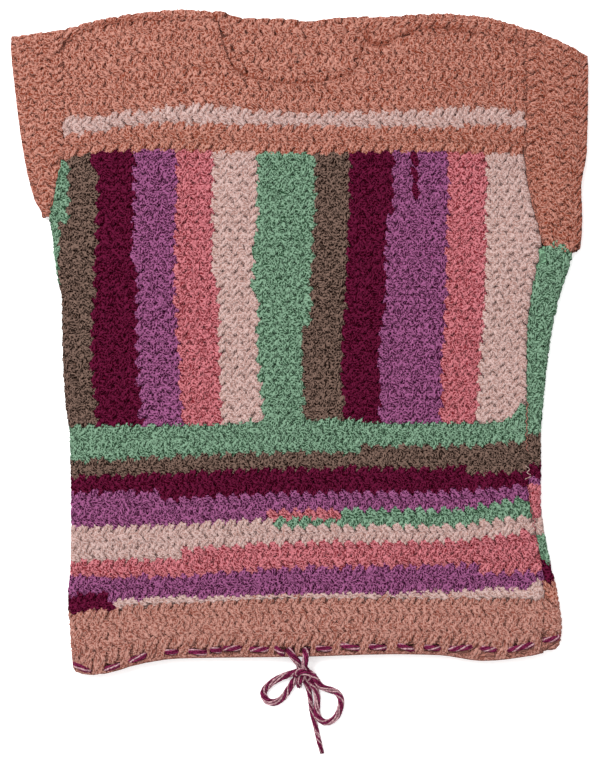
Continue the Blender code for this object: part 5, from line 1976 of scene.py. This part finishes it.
YOKE_COLUMNS = [
    -0.180, -0.150, -0.120, -0.095, -0.077, -0.0734, -0.0712, -0.0695, -0.0650, -0.0590, -0.0470,
    -0.0285, -0.0095, 0.0077, 0.0310, 0.0440, 0.0500, 0.0560, 0.0600, 0.0700, 0.0800, 0.0900,
    0.1050, 0.1250, 0.1500, 0.1760,
]
YOKE_FINE = 3  # columns of the ground for each of these
YOKE_LEVEL = 0.25  # the height of a place, before it is worked out
YOKE_SHARES = 16
ROLL_SHARES = 10
YOKE_INNER_FACE = -3.2 * MM


def yoke_x(p, y):
    """A column of the yoke: the outer ones follow the armholes."""
    places = [smooth(LEFT_ARMHOLE, y) + SEAM / 2, *[x + 0 * y for x in YOKE_COLUMNS], front_right(y)]
    places = np.stack([np.broadcast_to(x, np.shape(p)) for x in places])
    column = np.clip(p / YOKE_FINE, 0, len(places) - 1)
    k = np.minimum(column.astype(int), len(places) - 2)
    pick = np.arange(len(column))
    return mix(places[k, pick], places[k + 1, pick], column - k)


def yoke_ground(back):
    columns = (len(YOKE_COLUMNS) + 1) * YOKE_FINE

    def flat(p, q):
        share = np.minimum(q / YOKE_SHARES, 1)
        x = yoke_x(p, np.full(len(p), YOKE_LEVEL))
        for _ in range(PASSES):
            if back:
                top = np.where(at_neck(x), smooth(TOP_EDGE, x), top_roll(x)[0])
            else:
                top = front_top_edge(x) - SEAM / 2
            y = mix(smooth(YOKE_LINE, x) + SEAM / 2, top, share)
            x = yoke_x(p, y)
        if back:
            y = mix(y, shoulder_flat(x) - SEAM / 2, np.clip((q - YOKE_SHARES) / ROLL_SHARES, 0, 1))
        return x, y

    def yarn(u, v):
        in_stripe = (v > smooth(CREAM_FOOT, u)) & (v < smooth(CREAM_TOP, u))
        return np.where(in_stripe, NUMBER["cream"], NUMBER["rose"])

    if not back:
        return shell("front_yoke", flat_grid(columns, YOKE_SHARES), flat, yarn, on_top)
    first, last = ((YOKE_COLUMNS.index(x) + 1) * YOKE_FINE for x in (NECK_LEFT, NECK_RIGHT))
    neck = lambda p, q: (q > YOKE_SHARES) & (p > first) & (p < last)
    grid = flat_grid(columns, YOKE_SHARES + ROLL_SHARES, neck)
    return shell("back_yoke", grid, flat, yarn, lay_back_yoke, YOKE_INNER_FACE)


def lay_back_yoke(x, v, w):
    """The back of the yoke, which rolls over to the top only at the shoulders."""
    rolled, plain = lay_shoulder(x, v, w), underneath(x, v, w)
    flat = (x > NECK_LEFT + 0.1 * MM) & (x < NECK_RIGHT - 0.1 * MM)
    return tuple(np.where(flat, a, b) for a, b in zip(plain, rolled))


SLEEVE_SEGMENTS, SLEEVE_COLUMNS = 96, 10


def sleeve_ground(name):
    sleeve = SLEEVES[name]

    def flat(p, q):
        share = q / SLEEVE_COLUMNS
        return share, p / SLEEVE_SEGMENTS * sleeve.way_round(share)

    tube = flat_tube(SLEEVE_SEGMENTS, SLEEVE_COLUMNS)
    return shell(name, tube, flat, one_yarn("rose"), sleeve.lay)


def declare(stitches):
    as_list(stitches)


def front_stripes(u, v):
    return stripe_yarn(row_of(STRIPES, STRIPE_FIRST, STRIPE_ROWS, u, v), v)


def back_stripes(u, v):
    return back_stripe_yarn(row_of(BACK_STRIPES, 0, len(BACK_STRIPED), u, v), v)


def lower_rows(chart):
    return lambda u, v: chart_yarn(chart, row_of(LOWER, 0, LOWER_ROWS, v, u), u)


def lay_cloth():
    """Each node's ground and its stitches."""
    back = striped_ground("back_striped_panel", True, back_stripes)
    declare(back_striped_panel())
    front = striped_ground("front_striped_panel", False, front_stripes)
    declare(front_striped_panel())
    back = lower_ground("back_lower_panel", True, lower_rows(BACK_LOWER_CHART))
    declare(back_lower_panel())
    front = lower_ground("front_lower_panel", False, lower_rows(LOWER_CHART))
    declare(front_lower_panel())
    back = hem_ground("back_hem_band", True)
    declare(back_hem_band())
    front = hem_ground("front_hem_band", False)
    declare(front_hem_band())
    back = yoke_ground(True)
    declare(back_yoke())
    front = yoke_ground(False)
    declare(front_yoke())
    for name in SLEEVES:
        ground = sleeve_ground(name)
        declare(sleeve_pieces(name))
    seam_yarn()


# ------------------------ floor and light
FLOOR_NAME = "floor"
FLOOR_LEVEL = -0.3 * MM
FLOOR_SIZE = 3.0


def add_floor():
    bm = bmesh.new()
    bmesh.ops.create_grid(bm, x_segments=1, y_segments=1, size=FLOOR_SIZE)
    made = add_piece(FLOOR_NAME, mesh_of(FLOOR_NAME, bm), [floor_material()])
    made.location.z = FLOOR_LEVEL


def add_light(name, place, size, power):
    lamp = bpy.data.lights.new(name, "AREA")
    lamp.energy, lamp.size = power, size
    made = bpy.data.objects.new(name, lamp)
    made.location = place
    made.rotation_euler = (-Vector(place)).to_track_quat("-Z", "Y").to_euler()
    bpy.context.collection.objects.link(made)


def add_world(strength):
    world = bpy.data.worlds.new("soft_room")
    bpy.context.scene.world = world
    world.use_nodes = True
    background = world.node_tree.nodes["Background"]
    background.inputs["Color"].default_value = WHITE
    background.inputs["Strength"].default_value = strength


set_camera()
laced_cord()
bow()
add_floor()
add_world(strength=0.90)
add_light("key", place=(-1.5, 1.7, 3.0), size=1.7, power=130.0)
lay_cloth()
for pattern in PATTERNS:
    bpy.data.objects.remove(pattern)
